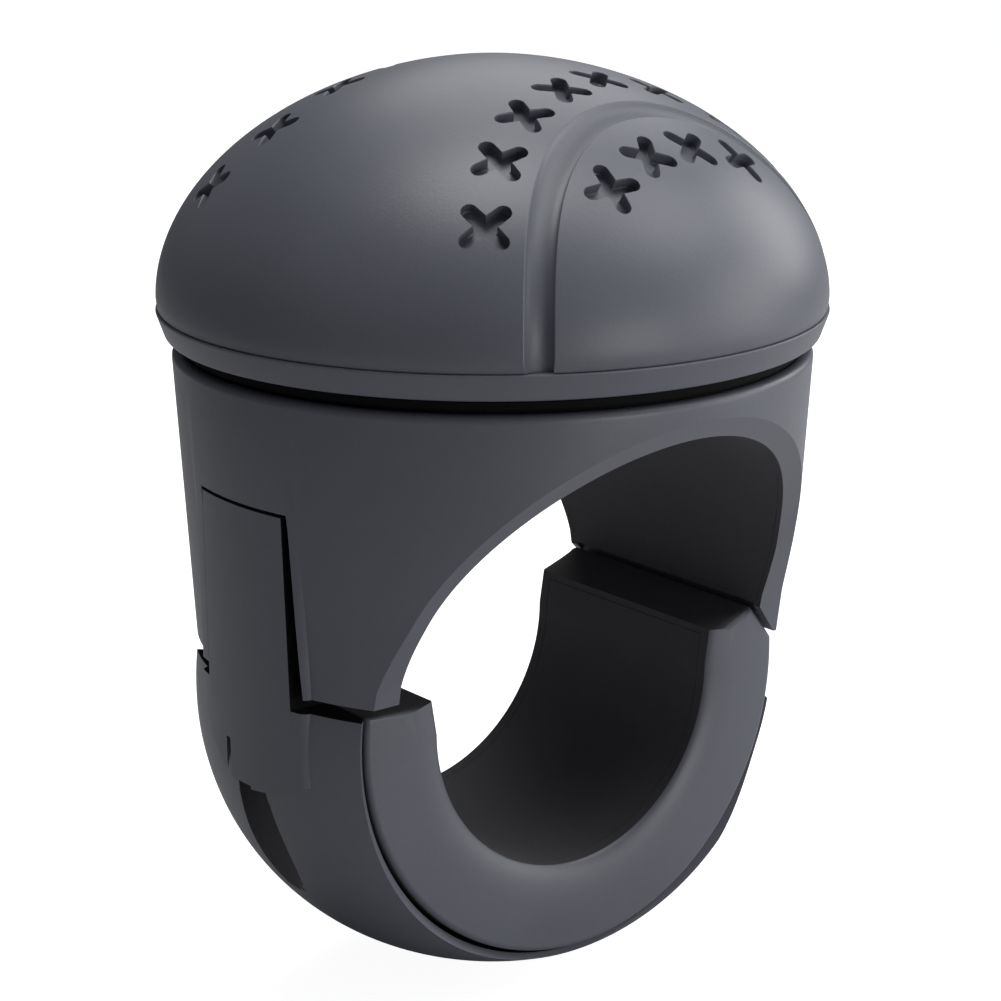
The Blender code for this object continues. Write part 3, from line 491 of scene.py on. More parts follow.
piece("grip_cap", make_cap(), SLATE, "knob", ["dome_cap"], 15.0)


# Knob base
# A thin moulded dish of the cap's plastic that closes the cap from below. Its rim carries on the
# cap's curve down to the running gap, its tower holds the bearing, and three screws hold it.
BASE_BOTTOM_Z = 31.0
BASE_BOTTOM_RADIUS = 28.3
RIM_OVERHANG = 0.26
RIM_DROP = 0.01
RIM_FILLET = 0.24
DISH_TOP_DROP = 0.3
DISH_TOP_RISE = 1.0
HUB_HOLE_RADIUS = 8.5
TOWER_RADIUS = 11.3
TOWER_WALL = 2.2
TOWER_TOP_Z = 43.0
BEARING_SEAT_Z = 35.7
BEARING_LIP_RADIUS = 9.3


def rounded(corners):
    """Outline points with each (radius, z, fillet) corner rounded by its fillet."""
    points = []
    for number, (x, z, fillet) in enumerate(corners):
        here = Vector((x, z))
        if fillet <= 0:
            points.append((x, z))
            continue
        before = Vector(corners[number - 1][:2]) - here
        after = Vector(corners[(number + 1) % len(corners)][:2]) - here
        start = here + before.normalized() * fillet
        end = here + after.normalized() * fillet
        for i in range(6):
            t = i / 5
            spot = start * (1 - t) ** 2 + here * 2 * t * (1 - t) + end * t ** 2
            points.append((spot.x, spot.y))
    return points


def make_base():
    """The dish, its rim, the bearing's tower and the hole for the clamp's hub."""
    rim_z = PARTING_Z - RIM_DROP
    top = PARTING_Z - DISH_TOP_DROP
    outside = TOWER_RADIUS + TOWER_WALL
    return turned(rounded([
        (HUB_HOLE_RADIUS, BASE_BOTTOM_Z, 0.2), (BASE_BOTTOM_RADIUS, BASE_BOTTOM_Z, 0.35),
        (PARTING_RADIUS + RIM_OVERHANG, rim_z, RIM_FILLET), (outside, rim_z, 0.0),
        (outside, TOWER_TOP_Z, 0.3), (TOWER_RADIUS, TOWER_TOP_Z, 0.2),
        (TOWER_RADIUS, BEARING_SEAT_Z, 0.0), (BEARING_LIP_RADIUS, BEARING_SEAT_Z, 0.2),
        (BEARING_LIP_RADIUS, top + DISH_TOP_RISE, 0.0), (HUB_HOLE_RADIUS, top, 0.2)]))


piece("knob_dish", make_base(), SLATE, "knob", ["knob_base"])


# Glide ring
# A ring of black low-friction plastic that lies under the knob. Its rib drops into a groove in
# the clamp's deck and keeps it in place.
GAP = 0.3
BODY_TOP_Z = 29.7
RING_INNER_RADIUS = 24.5
RING_OUTER_RADIUS = 27.0
RING_THICKNESS = 0.7
RIB_INNER_RADIUS = 25.5
RIB_OUTER_RADIUS = 26.5
RIB_DEPTH = 1.1


def make_glide_ring():
    """The flat ring with its rib below."""
    low = BODY_TOP_Z + GAP
    high = low + RING_THICKNESS
    rib = BODY_TOP_Z - RIB_DEPTH
    return turned(rounded([
        (RING_INNER_RADIUS, low, 0.0), (RIB_INNER_RADIUS, low, 0.0), (RIB_INNER_RADIUS, rib, 0.1),
        (RIB_OUTER_RADIUS, rib, 0.1), (RIB_OUTER_RADIUS, low, 0.0), (RING_OUTER_RADIUS, low, 0.1),
        (RING_OUTER_RADIUS, high, 0.1), (RING_INNER_RADIUS, high, 0.1)]))


# Black plastic for the ring and the bearing's cage; the same material is also painted on the latch notch,
# the split, the groove and the tongue's sides as painted shade.
BLACK_PLASTIC_AND_PAINTED_SHADE = grained("black_plastic_and_painted_shade", (0.003, 0.003, 0.0035), 0.8, 3000.0, 0.2, 0.05, 0.0, 0.15)
piece("running_ring", make_glide_ring(), BLACK_PLASTIC_AND_PAINTED_SHADE, "clamp", ["glide_ring"])


# Clamp body
# One tapered slate moulding with a flat deck for the knob, two legs and an arched tunnel for the
# rim. A bevel runs round both mouths, and a raised column on the left leg takes the latch
# tongue. The tunnel's wall takes the lining's dark matt rubber tone, which is also painted shade
# for the dark inside, and the latch notch's walls are painted black as its deep shade.
BODY_TOP_RADIUS = 27.8
BODY_TAPER = 0.06
ARCH_RADIUS = 20.2
ARCH_CENTRE_Z = 5.9
ARCH_BAND = 1.8
ARCH_BAND_DEPTH = 1.3
FOOT_FLARE = 0.95
FLARE_TOP_Z = 12.0
LEG_BOTTOM_Z = 4.3
HUB_RADIUS = 8.0
HUB_TOP_Z = 33.0
COLUMN_RADIUS = 26.9
COLUMN_DRAFT = 0.0125
COLUMN_ANGLE = 17.3
COLUMN_EASE = 1.0
COLUMN_EASE_ANGLE = 2.0
COLUMN_ROOT_INSET = 0.3
COLUMN_INNER_X = -23.0
COLUMN_TOP_Z = 21.5
FAR = 60.0
HINGE = (20.2, -0.6)
HINGE_CORNER = (20.1, 4.55)
HINGE_FACE_ANGLE = -51.0
HINGE_FACE_LENGTH = 3.65
LEG_FLAT_INSET = 5.0
PIN_HOLE_RADIUS = 1.4
PIN_HOLE_REACH = 9.0
KNUCKLE_RADIUS = 2.4
KNUCKLE_NECK = 0.3
KNUCKLE_HALF_LENGTH = 4.0
KNUCKLE_SIDE_INSET = 0.6
KNUCKLE_ROOT_DEPTH = 1.2
KNUCKLE_ROOT_RISE = 3.0
TONGUE_HALF_WIDTH = 5.8
TONGUE_TOP_Z = 19.6
TONGUE_INNER_X = -22.0
NOTCH_TOP_Z = TONGUE_TOP_Z + 0.35
NOTCH_REAR_GAP = 0.05
NOTCH_FRONT_FOOT = 7.75
NOTCH_FRONT_TOP = 6.45
BOSS_BOTTOM_Z = -5.2
SCREW_X = -23.8
SCREW_RADIUS = 1.2
SCREW_HOLE_TOP_Z = 25.0
NUT_ROOM_X = 2.6
NUT_ROOM_Y = 3.0
NUT_ROOM_TOP_Z = 22.9
SPINDLE_HOLE_RADIUS = 4.15
SPINDLE_HEAD_ROOM = 6.3
SPINDLE_HEAD_DEPTH = 2.9
PAD_LIP = 0.6
PAD_THICKNESS = 0.65
PAD_GAP = 0.05
RECESS_MARGIN = -8.0


def body_radius(z):
    """The tapered skin's radius at a height."""
    return BODY_TOP_RADIUS - BODY_TAPER * (BODY_TOP_Z - z)


def arc(radius, start, end, steps, centre=(0.0, 0.0)):
    """Points of an arc between two angles in degrees."""
    turns = [radians(start + (end - start) * i / steps) for i in range(steps + 1)]
    return [(centre[0] + radius * cos(t), centre[1] + radius * sin(t)) for t in turns]


def circle(radius, sides, centre):
    """Points of a full circle, the first one not repeated."""
    return arc(radius, 0, 360 - 360 / sides, sides - 1, centre)


def prism(outline, low, high, along="Y"):
    """A flat outline carried along Y (outline in x, z) or along Z (outline in x, y)."""
    shape = bmesh.new()
    ends = []
    for depth in (low, high):
        ends.append([shape.verts.new((a, depth, b) if along == "Y" else (a, b, depth)) for a, b in outline])
        shape.faces.new(ends[-1])
    for i in range(len(outline)):
        shape.faces.new((ends[0][i - 1], ends[0][i], ends[1][i], ends[1][i - 1]))
    bmesh.ops.recalc_face_normals(shape, faces=shape.faces)
    return shape


def mouth_depth(x, z):
    """How far the skin lies in front of the middle plane at a point of the mouth's outline."""
    return sqrt(max(1.0, body_radius(z) ** 2 - x ** 2))


def flare(z):
    """How much wider the bevel grows down the legs, to end flush with the jaw's face."""
    share = min(1.0, max(0.0, (FLARE_TOP_Z - z) / (FLARE_TOP_Z - LEG_BOTTOM_Z)))
    return FOOT_FLARE * share ** 1.5


def arch_points(radius, steps):
    """The arch's outline from one foot over its crown to the other."""
    foot = BOSS_BOTTOM_Z - 2
    middle = (foot + ARCH_CENTRE_Z) / 2
    return ([(-radius, foot), (-radius, middle)] + arc(radius, 180, 0, steps, (0.0, ARCH_CENTRE_Z))
            + [(radius, middle), (radius, foot)])


def tunnel():
    """The arch with its bevelled mouths; the bevel runs a little way out past the skin."""
    overrun = 1.2
    rings = []
    for side in (-1, 1):
        far, edge, throat = [], [], []
        for (xo, zo), (xi, zi) in zip(arch_points(ARCH_RADIUS + ARCH_BAND, 120),
                                      arch_points(ARCH_RADIUS, 120)):
            lean = ARCH_BAND_DEPTH * max(0.0, (zo - ARCH_CENTRE_Z) / (ARCH_RADIUS + ARCH_BAND))
            xo += flare(zo) if xo > 0 else -flare(zo)
            skin = mouth_depth(xo, zo)
            x = xi + overrun * (xo - xi)
            z = zi + overrun * (zo - zi)
            far.append((x, side * (CAP_RADIUS + 5), z))
            edge.append((x, side * (skin + (overrun - 1) * lean), z))
            throat.append((xi, side * (skin - lean), zi))
        rings += [far, edge, throat] if side < 0 else [throat, edge, far]
    return sheath(rings)


def arch_sheet(inner, outer, inset, margin, steps=96):
    """A curved sheet under the tunnel's roof, short of both mouths by inset."""
    rings = []
    for i in range(steps + 1):
        turn = radians(margin + (180 - 2 * margin) * i / steps)
        x = (ARCH_RADIUS + ARCH_BAND) * cos(turn)
        z = ARCH_CENTRE_Z + (ARCH_RADIUS + ARCH_BAND) * sin(turn)
        x += flare(z) if x > 0 else -flare(z)
        end = mouth_depth(x, z) - ARCH_BAND_DEPTH * max(0.0, sin(turn)) - inset
        rings.append([(radius * cos(turn), y, ARCH_CENTRE_Z + radius * sin(turn))
                      for radius, y in ((inner, -end), (outer, -end), (outer, end), (inner, end))])
    return sheath(rings)


def column_plan(radius):
    """Plan of the raised column on the latch side, its long edges eased by a small radius."""
    straight = COLUMN_ANGLE - COLUMN_EASE_ANGLE
    edge = []
    for i in range(9):
        turn = radians(90 * i / 8)
        edge.append((radius - COLUMN_EASE * (1 - cos(turn)),
                     COLUMN_ANGLE - COLUMN_EASE_ANGLE * (1 - sin(turn))))
    flat = [(radius, straight * i / 10) for i in range(10)]
    side = [(r * cos(radians(180 + a)), r * sin(radians(180 + a))) for r, a in flat + edge]
    root = side[-1][1] + COLUMN_ROOT_INSET
    left = [(x, -y) for x, y in reversed(side[1:])]
    return left + side + [(COLUMN_INNER_X, root), (COLUMN_INNER_X, -root)]


def column_radius(z):
    """The column's radius at a height, with its draft."""
    return COLUMN_RADIUS + COLUMN_DRAFT * z


def column(low, high, sag=(0.0, 0.0)):
    """The column between two heights; its lower end rises toward its front and rear by sag."""
    foot = [(x, y, low + sag[y > 0] * y * y) for x, y in column_plan(column_radius(low))]
    head = [(x, y, high) for x, y in column_plan(column_radius(high))]
    return sheath([foot, head])


def hinge_line(shift):
    """The sloping joint between leg and shoe, moved up (+) or down (-) by shift."""
    run = radians(HINGE_FACE_ANGLE)
    nudge = Vector((-sin(run), cos(run))) * shift
    start = Vector(HINGE_CORNER) + nudge
    return start, start + Vector((cos(run), sin(run))) * HINGE_FACE_LENGTH


def below_legs():
    """All the room under the legs' flat ends and under the sloping joint."""
    corner, end = hinge_line(GAP / 2)
    return prism([(-FAR, -FAR), (FAR, -FAR), (FAR, end.y), tuple(end), tuple(corner),
                  (corner.x - LEG_FLAT_INSET, LEG_BOTTOM_Z), (-FAR, LEG_BOTTOM_Z)], -FAR, FAR)


def knuckle():
    """The lug round the hinge pin, with a neck that runs up into the right leg."""
    past_top = degrees(asin(KNUCKLE_NECK / KNUCKLE_RADIUS))
    lug = arc(KNUCKLE_RADIUS, 0, -270 - past_top, 60, HINGE)
    side_x = ARCH_RADIUS + PAD_THICKNESS + KNUCKLE_SIDE_INSET
    root_x = body_radius(LEG_BOTTOM_Z) - KNUCKLE_ROOT_DEPTH
    root_z = HINGE_CORNER[1] + KNUCKLE_ROOT_RISE
    neck = [(side_x, HINGE_CORNER[1]), (side_x, root_z), (root_x, root_z), (root_x, hinge_line(0)[1].y)]
    return prism(lug + neck, -KNUCKLE_HALF_LENGTH, KNUCKLE_HALF_LENGTH)


def block(low, high):
    """A box between two corners."""
    return prism([(low[0], low[1]), (high[0], low[1]), (high[0], high[1]), (low[0], high[1])],
                 low[2], high[2], "Z")


def peg(radius, low, high, centre=(0.0, 0.0), sides=48):
    """A round rod that stands upright."""
    return turned([(0.0, low), (radius, low), (radius, high), (0.0, high)], sides, centre)


def notch(low, high):
    """The latch notch: close to the tongue behind, with a gap in front that widens downward."""
    rear = TONGUE_HALF_WIDTH + NOTCH_REAR_GAP
    inner = TONGUE_INNER_X + GAP
    rings = []
    for z, front in ((low, -NOTCH_FRONT_FOOT), (high, -NOTCH_FRONT_TOP)):
        rings.append([(-FAR, front, z), (inner, front, z), (inner, rear, z), (-FAR, rear, z)])
    return sheath(rings)


def make_body():
    """The turned and tapered block, with its column and knuckle, cut by all that goes through it."""
    low = BOSS_BOTTOM_Z
    groove_z = BODY_TOP_Z - RIB_DEPTH - GAP
    groove_outer = RIB_OUTER_RADIUS + GAP
    groove_inner = RIB_INNER_RADIUS - GAP
    shape = turned(rounded([
        (0.0, low, 0.0), (body_radius(low), low, 0.0), (BODY_TOP_RADIUS, BODY_TOP_Z, 0.7),
        (groove_outer, BODY_TOP_Z, 0.0), (groove_outer, groove_z, 0.0),
        (groove_inner, groove_z, 0.0), (groove_inner, BODY_TOP_Z, 0.0),
        (HUB_RADIUS, BODY_TOP_Z, 0.3), (HUB_RADIUS, HUB_TOP_Z, 0.3), (0.0, HUB_TOP_Z, 0.0)]))
    crown = ARCH_CENTRE_Z + ARCH_RADIUS
    recess = ARCH_RADIUS + PAD_THICKNESS + PAD_GAP
    nut_low = (SCREW_X - NUT_ROOM_X, -NUT_ROOM_Y, TONGUE_TOP_Z)
    nut_high = (SCREW_X + NUT_ROOM_X, NUT_ROOM_Y, NUT_ROOM_TOP_Z)
    pin_hole = prism(circle(PIN_HOLE_RADIUS, 40, HINGE), -PIN_HOLE_REACH, PIN_HOLE_REACH)
    screw_hole = peg(SCREW_RADIUS + GAP, NUT_ROOM_TOP_Z - GAP, SCREW_HOLE_TOP_Z, (SCREW_X, 0.0))
    head_room = peg(SPINDLE_HEAD_ROOM, crown - 3, crown + PAD_THICKNESS + SPINDLE_HEAD_DEPTH)
    return carve(shape, [
        ("UNION", column(low + 1, COLUMN_TOP_Z)),
        ("DIFFERENCE", tunnel()),
        ("DIFFERENCE", below_legs()),
        ("DIFFERENCE", arch_sheet(ARCH_RADIUS - 1, recess, PAD_LIP, RECESS_MARGIN)),
        ("UNION", knuckle()),
        ("DIFFERENCE", pin_hole),
        ("DIFFERENCE", notch(0.0, NOTCH_TOP_Z)),
        ("DIFFERENCE", block(nut_low, nut_high)),
        ("DIFFERENCE", screw_hole),
        ("DIFFERENCE", peg(SPINDLE_HOLE_RADIUS, crown - 3, HUB_TOP_Z + 2)),
        ("DIFFERENCE", head_room),
    ])


def skinned(made, look, chosen):
    """Give the faces that a test picks one more material."""
    made.data.materials.append(look)
    for face in made.data.polygons:
        if chosen(face.center / MM, face.normal):
            face.material_index = len(made.data.materials) - 1


def tunnel_wall_painted_shade(centre, normal):
    """Faces of the tunnel's wall, which look toward its axis; they get the dark rubber tone as painted
    shade.
    """
    rise = max(0.0, centre.z - ARCH_CENTRE_Z)
    inward = -Vector((centre.x, 0.0, rise)).normalized()
    return abs(sqrt(centre.x ** 2 + rise ** 2) - ARCH_RADIUS) < 0.15 and normal.dot(inward) > 0.9


def notch_painted_shade(centre, normal):
    """Faces inside the latch notch: its inner, front and level walls, painted black as shade."""
    front = NOTCH_FRONT_FOOT - (NOTCH_FRONT_FOOT - NOTCH_FRONT_TOP) * centre.z / NOTCH_TOP_Z
    within = (centre.x < TONGUE_INNER_X + 0.5 and abs(centre.y) < NOTCH_FRONT_FOOT + 0.15
              and centre.z < TONGUE_TOP_Z + 0.5)
    inner_wall = centre.x > TONGUE_INNER_X - 0.6
    front_wall = abs(centre.y + front) < 0.1
    return within and (inner_wall or front_wall or abs(normal.z) > 0.7)


# Dark rubber for the two linings; the same material is also painted on slate faces in the tunnel, bore,
# ledges, groove and screw pocket as painted shade.
RUBBER_AND_PAINTED_SHADE = grained("dark_grip_rubber_and_painted_shade", (0.085, 0.082, 0.09), 0.72, 2600.0, 0.6, 0.1, 0.0, 0.3)
body = piece("tapered_body", make_body(), SLATE, "clamp", ["clamp_body"])
# Painted shade: the tunnel's wall takes the dark rubber tone and the notch's walls are painted black.
skinned(body, RUBBER_AND_PAINTED_SHADE, tunnel_wall_painted_shade)
skinned(body, BLACK_PLASTIC_AND_PAINTED_SHADE, notch_painted_shade)


# Tunnel lining
# A thin sheet of dark rubber bedded in a recess of the tunnel's roof, so that the clamp grips
# the rim without marking it. It stops short of both mouths.
PAD_MARGIN = -2.8

piece("saddle_lining", arch_sheet(ARCH_RADIUS, ARCH_RADIUS + PAD_THICKNESS, PAD_LIP + PAD_GAP, PAD_MARGIN),
      RUBBER_AND_PAINTED_SHADE, "clamp", ["saddle_pad"])


# Jaw shoe
# The inner block of the lower jaw, a slate plastic crescent with a U-shaped bore. It hinges on a
# pin in the right leg, and two screws hold it in the strap. Its front and rear faces are crowned
# and fall back toward the sides, so that they stand proud of the strap only at the bottom.
BORE_RADIUS = 15.0
BORE_HALF_WIDTH = 15.5
JAW_TOP_Z = 3.1
SHOE_RADIUS = 22.6
SHOE_HALF_LENGTH = 12.9
SHOE_EASE = 0.55
SHOE_CROWN = 1.0
SHOE_CROWN_WIDTH = 3.6
SHOE_CROWN_STEPS = 12
SHOE_BOW = (1.2, 0.45)
NECK_ROOM = 1.3
NECK_ROOM_TOP_Z = 9.1
PIN_BLIND_END = 1.7
POCKET_RADIUS = 2.7
POCKET_X = -24.3
SCREW_HEAD_RADIUS = 2.0
SHOE_SCREW_Y = 6.0
SHOE_SCREW_HOLE_RADIUS = 1.2
SHOE_SCREW_SINK_RADIUS = 2.2
SHOE_SCREW_SINK_Z = (-17.95, -13.0)


def shoe_outline(inset, widen):
    """The crescent from the front, with its outer edge drawn in and its bore grown."""
    start = degrees(asin(JAW_TOP_Z / SHOE_RADIUS))
    corner, end = hinge_line(-GAP / 2 - inset)
    hinge_start = degrees(atan2(end.y, end.x))
    points = [(-BORE_HALF_WIDTH - widen, JAW_TOP_Z - inset)] + arc(BORE_RADIUS + widen, 180, 360, 120)
    points += [(BORE_HALF_WIDTH + widen, JAW_TOP_Z - inset), (corner.x, corner.y), (end.x, end.y)]
    return points + arc(SHOE_RADIUS - inset, hinge_start - 1, -180 - start + inset, 150)


def bore_points(spread, top):
    """The U of the bore from its left edge to its right, grown by spread."""
    side = BORE_RADIUS + spread + (BORE_HALF_WIDTH - BORE_RADIUS) * top / JAW_TOP_Z
    return [(-side, top)] + arc(BORE_RADIUS + spread, 180, 360, 110) + [(side, top)]


def bore_sheet(inner, outer, inset):
    """A curved sheet in the bore's wall, short of both faces and of the top by inset."""
    half = SHOE_HALF_LENGTH - SHOE_CROWN - SHOE_BOW[0] / 2 - inset
    top = JAW_TOP_Z - inset
    return prism(bore_points(inner, top) + bore_points(outer, top)[::-1], -half, half)


def shoe_layers():
    """The crowned face in steps outward: (inset of the outer edge, growth of the bore, y)."""
    for i in range(SHOE_CROWN_STEPS + 1):
        share = i / SHOE_CROWN_STEPS
        rise = SHOE_CROWN * sin(radians(90 * share))
        drop = max(0.0, rise - SHOE_CROWN + SHOE_EASE) / SHOE_EASE
        inset = SHOE_EASE * (1 - sqrt(1 - drop ** 2))
        yield inset, SHOE_CROWN_WIDTH * share ** 1.5, SHOE_HALF_LENGTH - SHOE_CROWN + rise


def make_shoe():
    """The crescent with its crowned faces, cut for lining, hinge, clamp screw and its own screws."""
    rings = []
    for side in (-1, 1):
        layers = list(shoe_layers())
        if side < 0:
            layers.reverse()
        for inset, widen, y in layers:
            rings.append([(x, side * (y - SHOE_BOW[x > 0] * (x / SHOE_RADIUS) ** 2), z)
                          for x, z in shoe_outline(inset, widen)])
    swing = KNUCKLE_HALF_LENGTH + GAP
    neck_low = (HINGE[0], -swing, HINGE[1] - KNUCKLE_RADIUS - NECK_ROOM)
    pin_hole = prism(circle(PIN_HOLE_RADIUS, 40, HINGE),
                     -SHOE_HALF_LENGTH + PIN_BLIND_END, SHOE_HALF_LENGTH + 1)
    head_hole = peg(SCREW_HEAD_RADIUS + 2 * GAP, BOSS_BOTTOM_Z - 1, JAW_TOP_Z + 2, (SCREW_X, 0.0))
    places = [(0.0, y) for y in (-SHOE_SCREW_Y, SHOE_SCREW_Y)]
    holes = [peg(SHOE_SCREW_HOLE_RADIUS, -FAR, -BORE_RADIUS, place) for place in places]
    sinks = [peg(SHOE_SCREW_SINK_RADIUS, *SHOE_SCREW_SINK_Z, place) for place in places]
    return carve(sheath(rings), [
        ("DIFFERENCE", bore_sheet(-1.0, PAD_THICKNESS + PAD_GAP, PAD_LIP)),
        ("DIFFERENCE", prism(circle(KNUCKLE_RADIUS + GAP, 60, HINGE), -swing, swing)),
        ("DIFFERENCE", block(neck_low, (FAR, swing, NECK_ROOM_TOP_Z))),
        ("DIFFERENCE", pin_hole),
        ("DIFFERENCE", peg(POCKET_RADIUS, -FAR, BOSS_BOTTOM_Z, (POCKET_X, 0.0))),
        ("DIFFERENCE", head_hole),
    ] + [("DIFFERENCE", tool) for tool in holes + sinks])


def bore_and_painted_shade(centre, normal):
    """Faces of the bore, of the ledges above it and of the groove beside the strap, all in the dark rubber
    tone: the bore's wall to match the lining, the ledges and the groove as painted shade.
    """
    reach = sqrt(centre.x ** 2 + min(0.0, centre.z) ** 2)
    wall = (reach < BORE_HALF_WIDTH + 0.1 or reach > SHOE_RADIUS - 0.1) and abs(normal.y) < 0.5
    ledge = normal.z > 0.8 and centre.z > JAW_TOP_Z - 0.1
    return wall or (ledge and abs(centre.y) < SHOE_HALF_LENGTH - 0.3)


shoe = piece("inner_shoe", make_shoe(), SLATE, "jaw", ["jaw_shoe"])
# Painted shade: the shoe's ledges and groove take the dark rubber tone, and its bore wall matches the
# lining.
skinned(shoe, RUBBER_AND_PAINTED_SHADE, bore_and_painted_shade)


# Jaw lining
# The same dark rubber as in the tunnel, bedded in the shoe's bore round the rim's lower half.
# It stops short of the shoe's faces and of its top.
piece("jaw_lining", bore_sheet(0.0, PAD_THICKNESS, PAD_LIP + PAD_GAP),
      RUBBER_AND_PAINTED_SHADE, "jaw", ["jaw_pad"])


# Jaw strap
# The hard outer shell of the jaw, moulded in slate plastic as part of a ball round the shoe. It
# carries the latch: a boss for the clamp screw, and above it a tongue that closes into the
# leg's notch. The tongue's sides, the split under the leg and the groove beside the shoe are
# painted black as deep shade, and the screw's pocket under the boss takes the dark rubber tone
# as painted shade.
STRAP_RADIUS = 26.6
STRAP_DEPTH = 25.85
STRAP_POWER = 2.12
STRAP_GROOVE = 0.4
STRAP_HALF_LENGTH = 12.5
STRAP_EASE = 0.75
STRAP_END_ANGLE = -60.0
STRAP_SLICES = 60
STRAP_TIP_ANGLE = 3.0
BEVEL_RADIUS = 23.75
BEVEL_STEP = 0.9
BEVEL_START = -75.0
BEVEL_SPAN = 70.0
BEVEL_STEP_START = 25.0
BEVEL_STEP_SPAN = 28.0
BEVEL_SLICES = 60
BEVEL_EDGES = ((0.4, -0.25), (-3.4, 2.12))
BEVEL_REACH = 40.0
TONGUE_SPREAD = 0.45
TONGUE_ROOT = 2.3
BOSS_SAG = (0.03, 0.1)
RELIEF_SLOT = ((-FAR, 2.05, -5.3), (-25.3, 2.7, -1.4))
COUNTERBORE_TOP_Z = -1.6


def strap_band():
    """What is kept of the ball: a band outside the shoe, with eased front and rear edges."""
    far = 80.0
    run = radians(STRAP_END_ANGLE)
    rings = []
    for side in (-1, 1):
        layers = [(STRAP_EASE, STRAP_HALF_LENGTH), (0.0, STRAP_HALF_LENGTH - STRAP_EASE)]
        if side > 0:
            layers.reverse()
        for inset, y in layers:
            inner = SHOE_RADIUS + STRAP_GROOVE + inset
            start = 180 - degrees(asin(JAW_TOP_Z / inner))
            lean = HINGE[0] * cos(run) + HINGE[1] * sin(run)
            out = sqrt(lean ** 2 + inner ** 2 - HINGE[0] ** 2 - HINGE[1] ** 2) - lean
            last = degrees(atan2(HINGE[1] + out * sin(run), HINGE[0] + out * cos(run)))
            outline = [(-far, JAW_TOP_Z)] + arc(inner, start, 360 + last, 140)
            outline += [(HINGE[0] + far * cos(run), HINGE[1] + far * sin(run)), (-far, -far)]
            rings.append([(x, side * y, z) for x, z in outline])
    return sheath(rings)


def tongue(foot):
    """The latch tongue: flush with the column, a little wider at its foot in front."""
    rings = []
    for z in (foot, TONGUE_TOP_Z):
        radius = column_radius(z)
        front = TONGUE_HALF_WIDTH + TONGUE_SPREAD * (TONGUE_TOP_Z - z) / (TONGUE_TOP_Z - foot)
        start = 180 - degrees(asin(TONGUE_HALF_WIDTH / radius))
        plan = arc(radius, start, 180 + degrees(asin(front / radius)), 24)
        plan += [(TONGUE_INNER_X, -front), (TONGUE_INNER_X, TONGUE_HALF_WIDTH)]
        rings.append([(x, y, z) for x, y in plan])
    return sheath(rings)


def edge_relief(side):
    """A long bevel on the strap's edge that grows toward the hinge, to end flush with the shoe."""
    rings = []
    for past, grow in BEVEL_EDGES:
        y = side * (STRAP_HALF_LENGTH + past)
        inner, outer = [], []
        for i in range(BEVEL_SLICES + 1):
            along = i / BEVEL_SLICES * BEVEL_SPAN
            turn = radians(BEVEL_START + along)
            share = min(1.0, max(0.0, (along - BEVEL_STEP_START) / BEVEL_STEP_SPAN))
            radius = BEVEL_RADIUS - BEVEL_STEP * share * share * (3 - 2 * share) + grow
            inner.append((radius * cos(turn), y, radius * sin(turn)))
            outer.append((BEVEL_REACH * cos(turn), y, BEVEL_REACH * sin(turn)))
        rings.append(inner + outer[::-1])
    return sheath(rings)


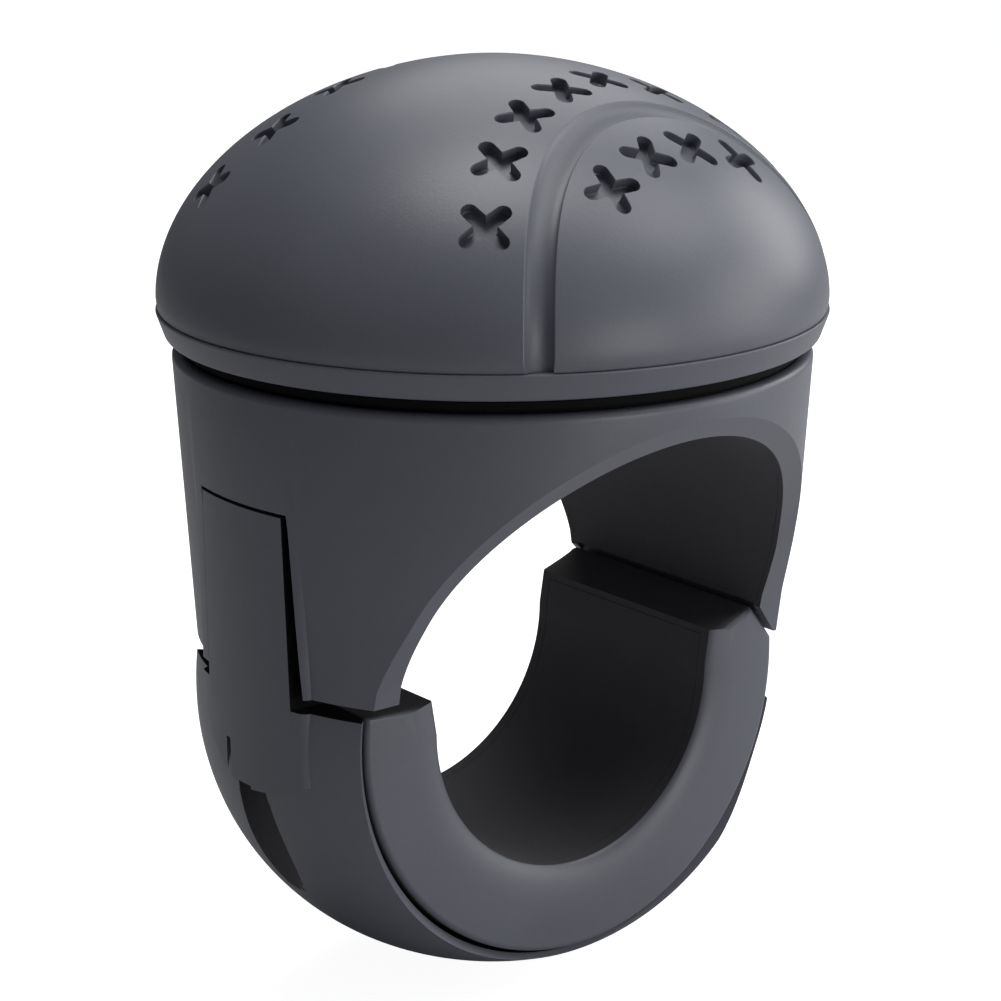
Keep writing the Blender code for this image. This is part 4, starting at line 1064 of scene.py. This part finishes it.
def make_strap():
    """The ball cut down to its band, with boss and tongue added and the screw's room cut out."""
    top = JAW_TOP_Z + 4
    low = []
    for i in range(STRAP_SLICES):
        turn = radians(STRAP_TIP_ANGLE + (90 - STRAP_TIP_ANGLE) * i / STRAP_SLICES)
        low.append((STRAP_RADIUS * sin(turn) ** (2 / STRAP_POWER),
                    -STRAP_DEPTH * cos(turn) ** (2 / STRAP_POWER)))
    high = arc(STRAP_RADIUS, 0, degrees(asin(top / STRAP_RADIUS)), 8)
    ball = turned([(0.0, -STRAP_DEPTH)] + low + high + [(0.0, top)])
    foot = JAW_TOP_Z - TONGUE_ROOT
    room_low = (-SHOE_RADIUS - GAP, -TONGUE_HALF_WIDTH - 1, foot)
    room_high = (-ARCH_RADIUS, TONGUE_HALF_WIDTH + 1, JAW_TOP_Z + GAP)
    screw = (SCREW_X, 0.0)
    screw_hole = peg(SCREW_RADIUS + GAP, COUNTERBORE_TOP_Z - 1, TONGUE_TOP_Z + 2, screw)
    counterbore = peg(SCREW_HEAD_RADIUS + GAP, BOSS_BOTTOM_Z - 2, COUNTERBORE_TOP_Z, screw)
    return carve(ball, [
        ("INTERSECT", strap_band()),
        ("DIFFERENCE", edge_relief(-1)),
        ("DIFFERENCE", edge_relief(1)),
        ("UNION", column(BOSS_BOTTOM_Z, JAW_TOP_Z, BOSS_SAG)),
        ("UNION", tongue(foot + GAP)),
        ("DIFFERENCE", block(*RELIEF_SLOT)),
        ("DIFFERENCE", block(room_low, room_high)),
        ("DIFFERENCE", screw_hole),
        ("DIFFERENCE", counterbore),
        ("DIFFERENCE", peg(POCKET_RADIUS, -FAR, BOSS_BOTTOM_Z + GAP, (POCKET_X, 0.0))),
    ])


def strap_painted_shade(centre, normal):
    """Faces of the split under the leg, of the groove beside the shoe and of the tongue's sides, painted
    black as shade.
    """
    split = normal.z > 0.8 and abs(centre.z - JAW_TOP_Z) < 0.1
    reach = sqrt(centre.x ** 2 + centre.z ** 2)
    groove = reach < SHOE_RADIUS + STRAP_GROOVE + 0.1 and abs(normal.y) < 0.3
    above = centre.z > JAW_TOP_Z - 0.5
    side = abs(normal.y) > 0.7 and above and abs(centre.y) < TONGUE_HALF_WIDTH + 0.7
    return split or groove or side


def pocket_painted_shade(centre, normal):
    """Faces of the screw's pocket under the boss, painted in the dark rubber tone as shade."""
    reach = sqrt((centre.x - POCKET_X) ** 2 + centre.y ** 2)
    return reach < POCKET_RADIUS + 0.05 and centre.z < BOSS_BOTTOM_Z + 0.4


strap = piece("outer_strap", make_strap(), SLATE, "jaw", ["jaw_strap"])
# Painted shade: black on the split, the groove and the tongue's sides, and the dark rubber tone in the
# screw's pocket.
skinned(strap, BLACK_PLASTIC_AND_PAINTED_SHADE, strap_painted_shade)
skinned(strap, RUBBER_AND_PAINTED_SHADE, pocket_painted_shade)


# Metal and hidden pieces
# The bearing, spindle, nuts, pin and screws are bought-in steel parts, plated or ground bright,
# and the bearing's cage is black plastic. They keep their own solids and only take a finish.
STEEL = grained("bright_steel", (0.55, 0.56, 0.58), 0.28, 1600.0, 0.12, 0.1, 1.0)
PLATED = grained("zinc_plated_steel", (0.46, 0.48, 0.52), 0.36, 900.0, 0.2, 0.15, 1.0)
FINISHES = {"steel": STEEL, "zinc_steel": PLATED, "black_plastic": BLACK_PLASTIC_AND_PAINTED_SHADE}
for entry in frame["record"]["subparts"]:
    node = frame["nodes"][entry["node"]]
    finish = FINISHES.get(entry["material_slot"])
    if finish and not node.hide_render:
        node.data.materials.clear()
        node.data.materials.append(finish)
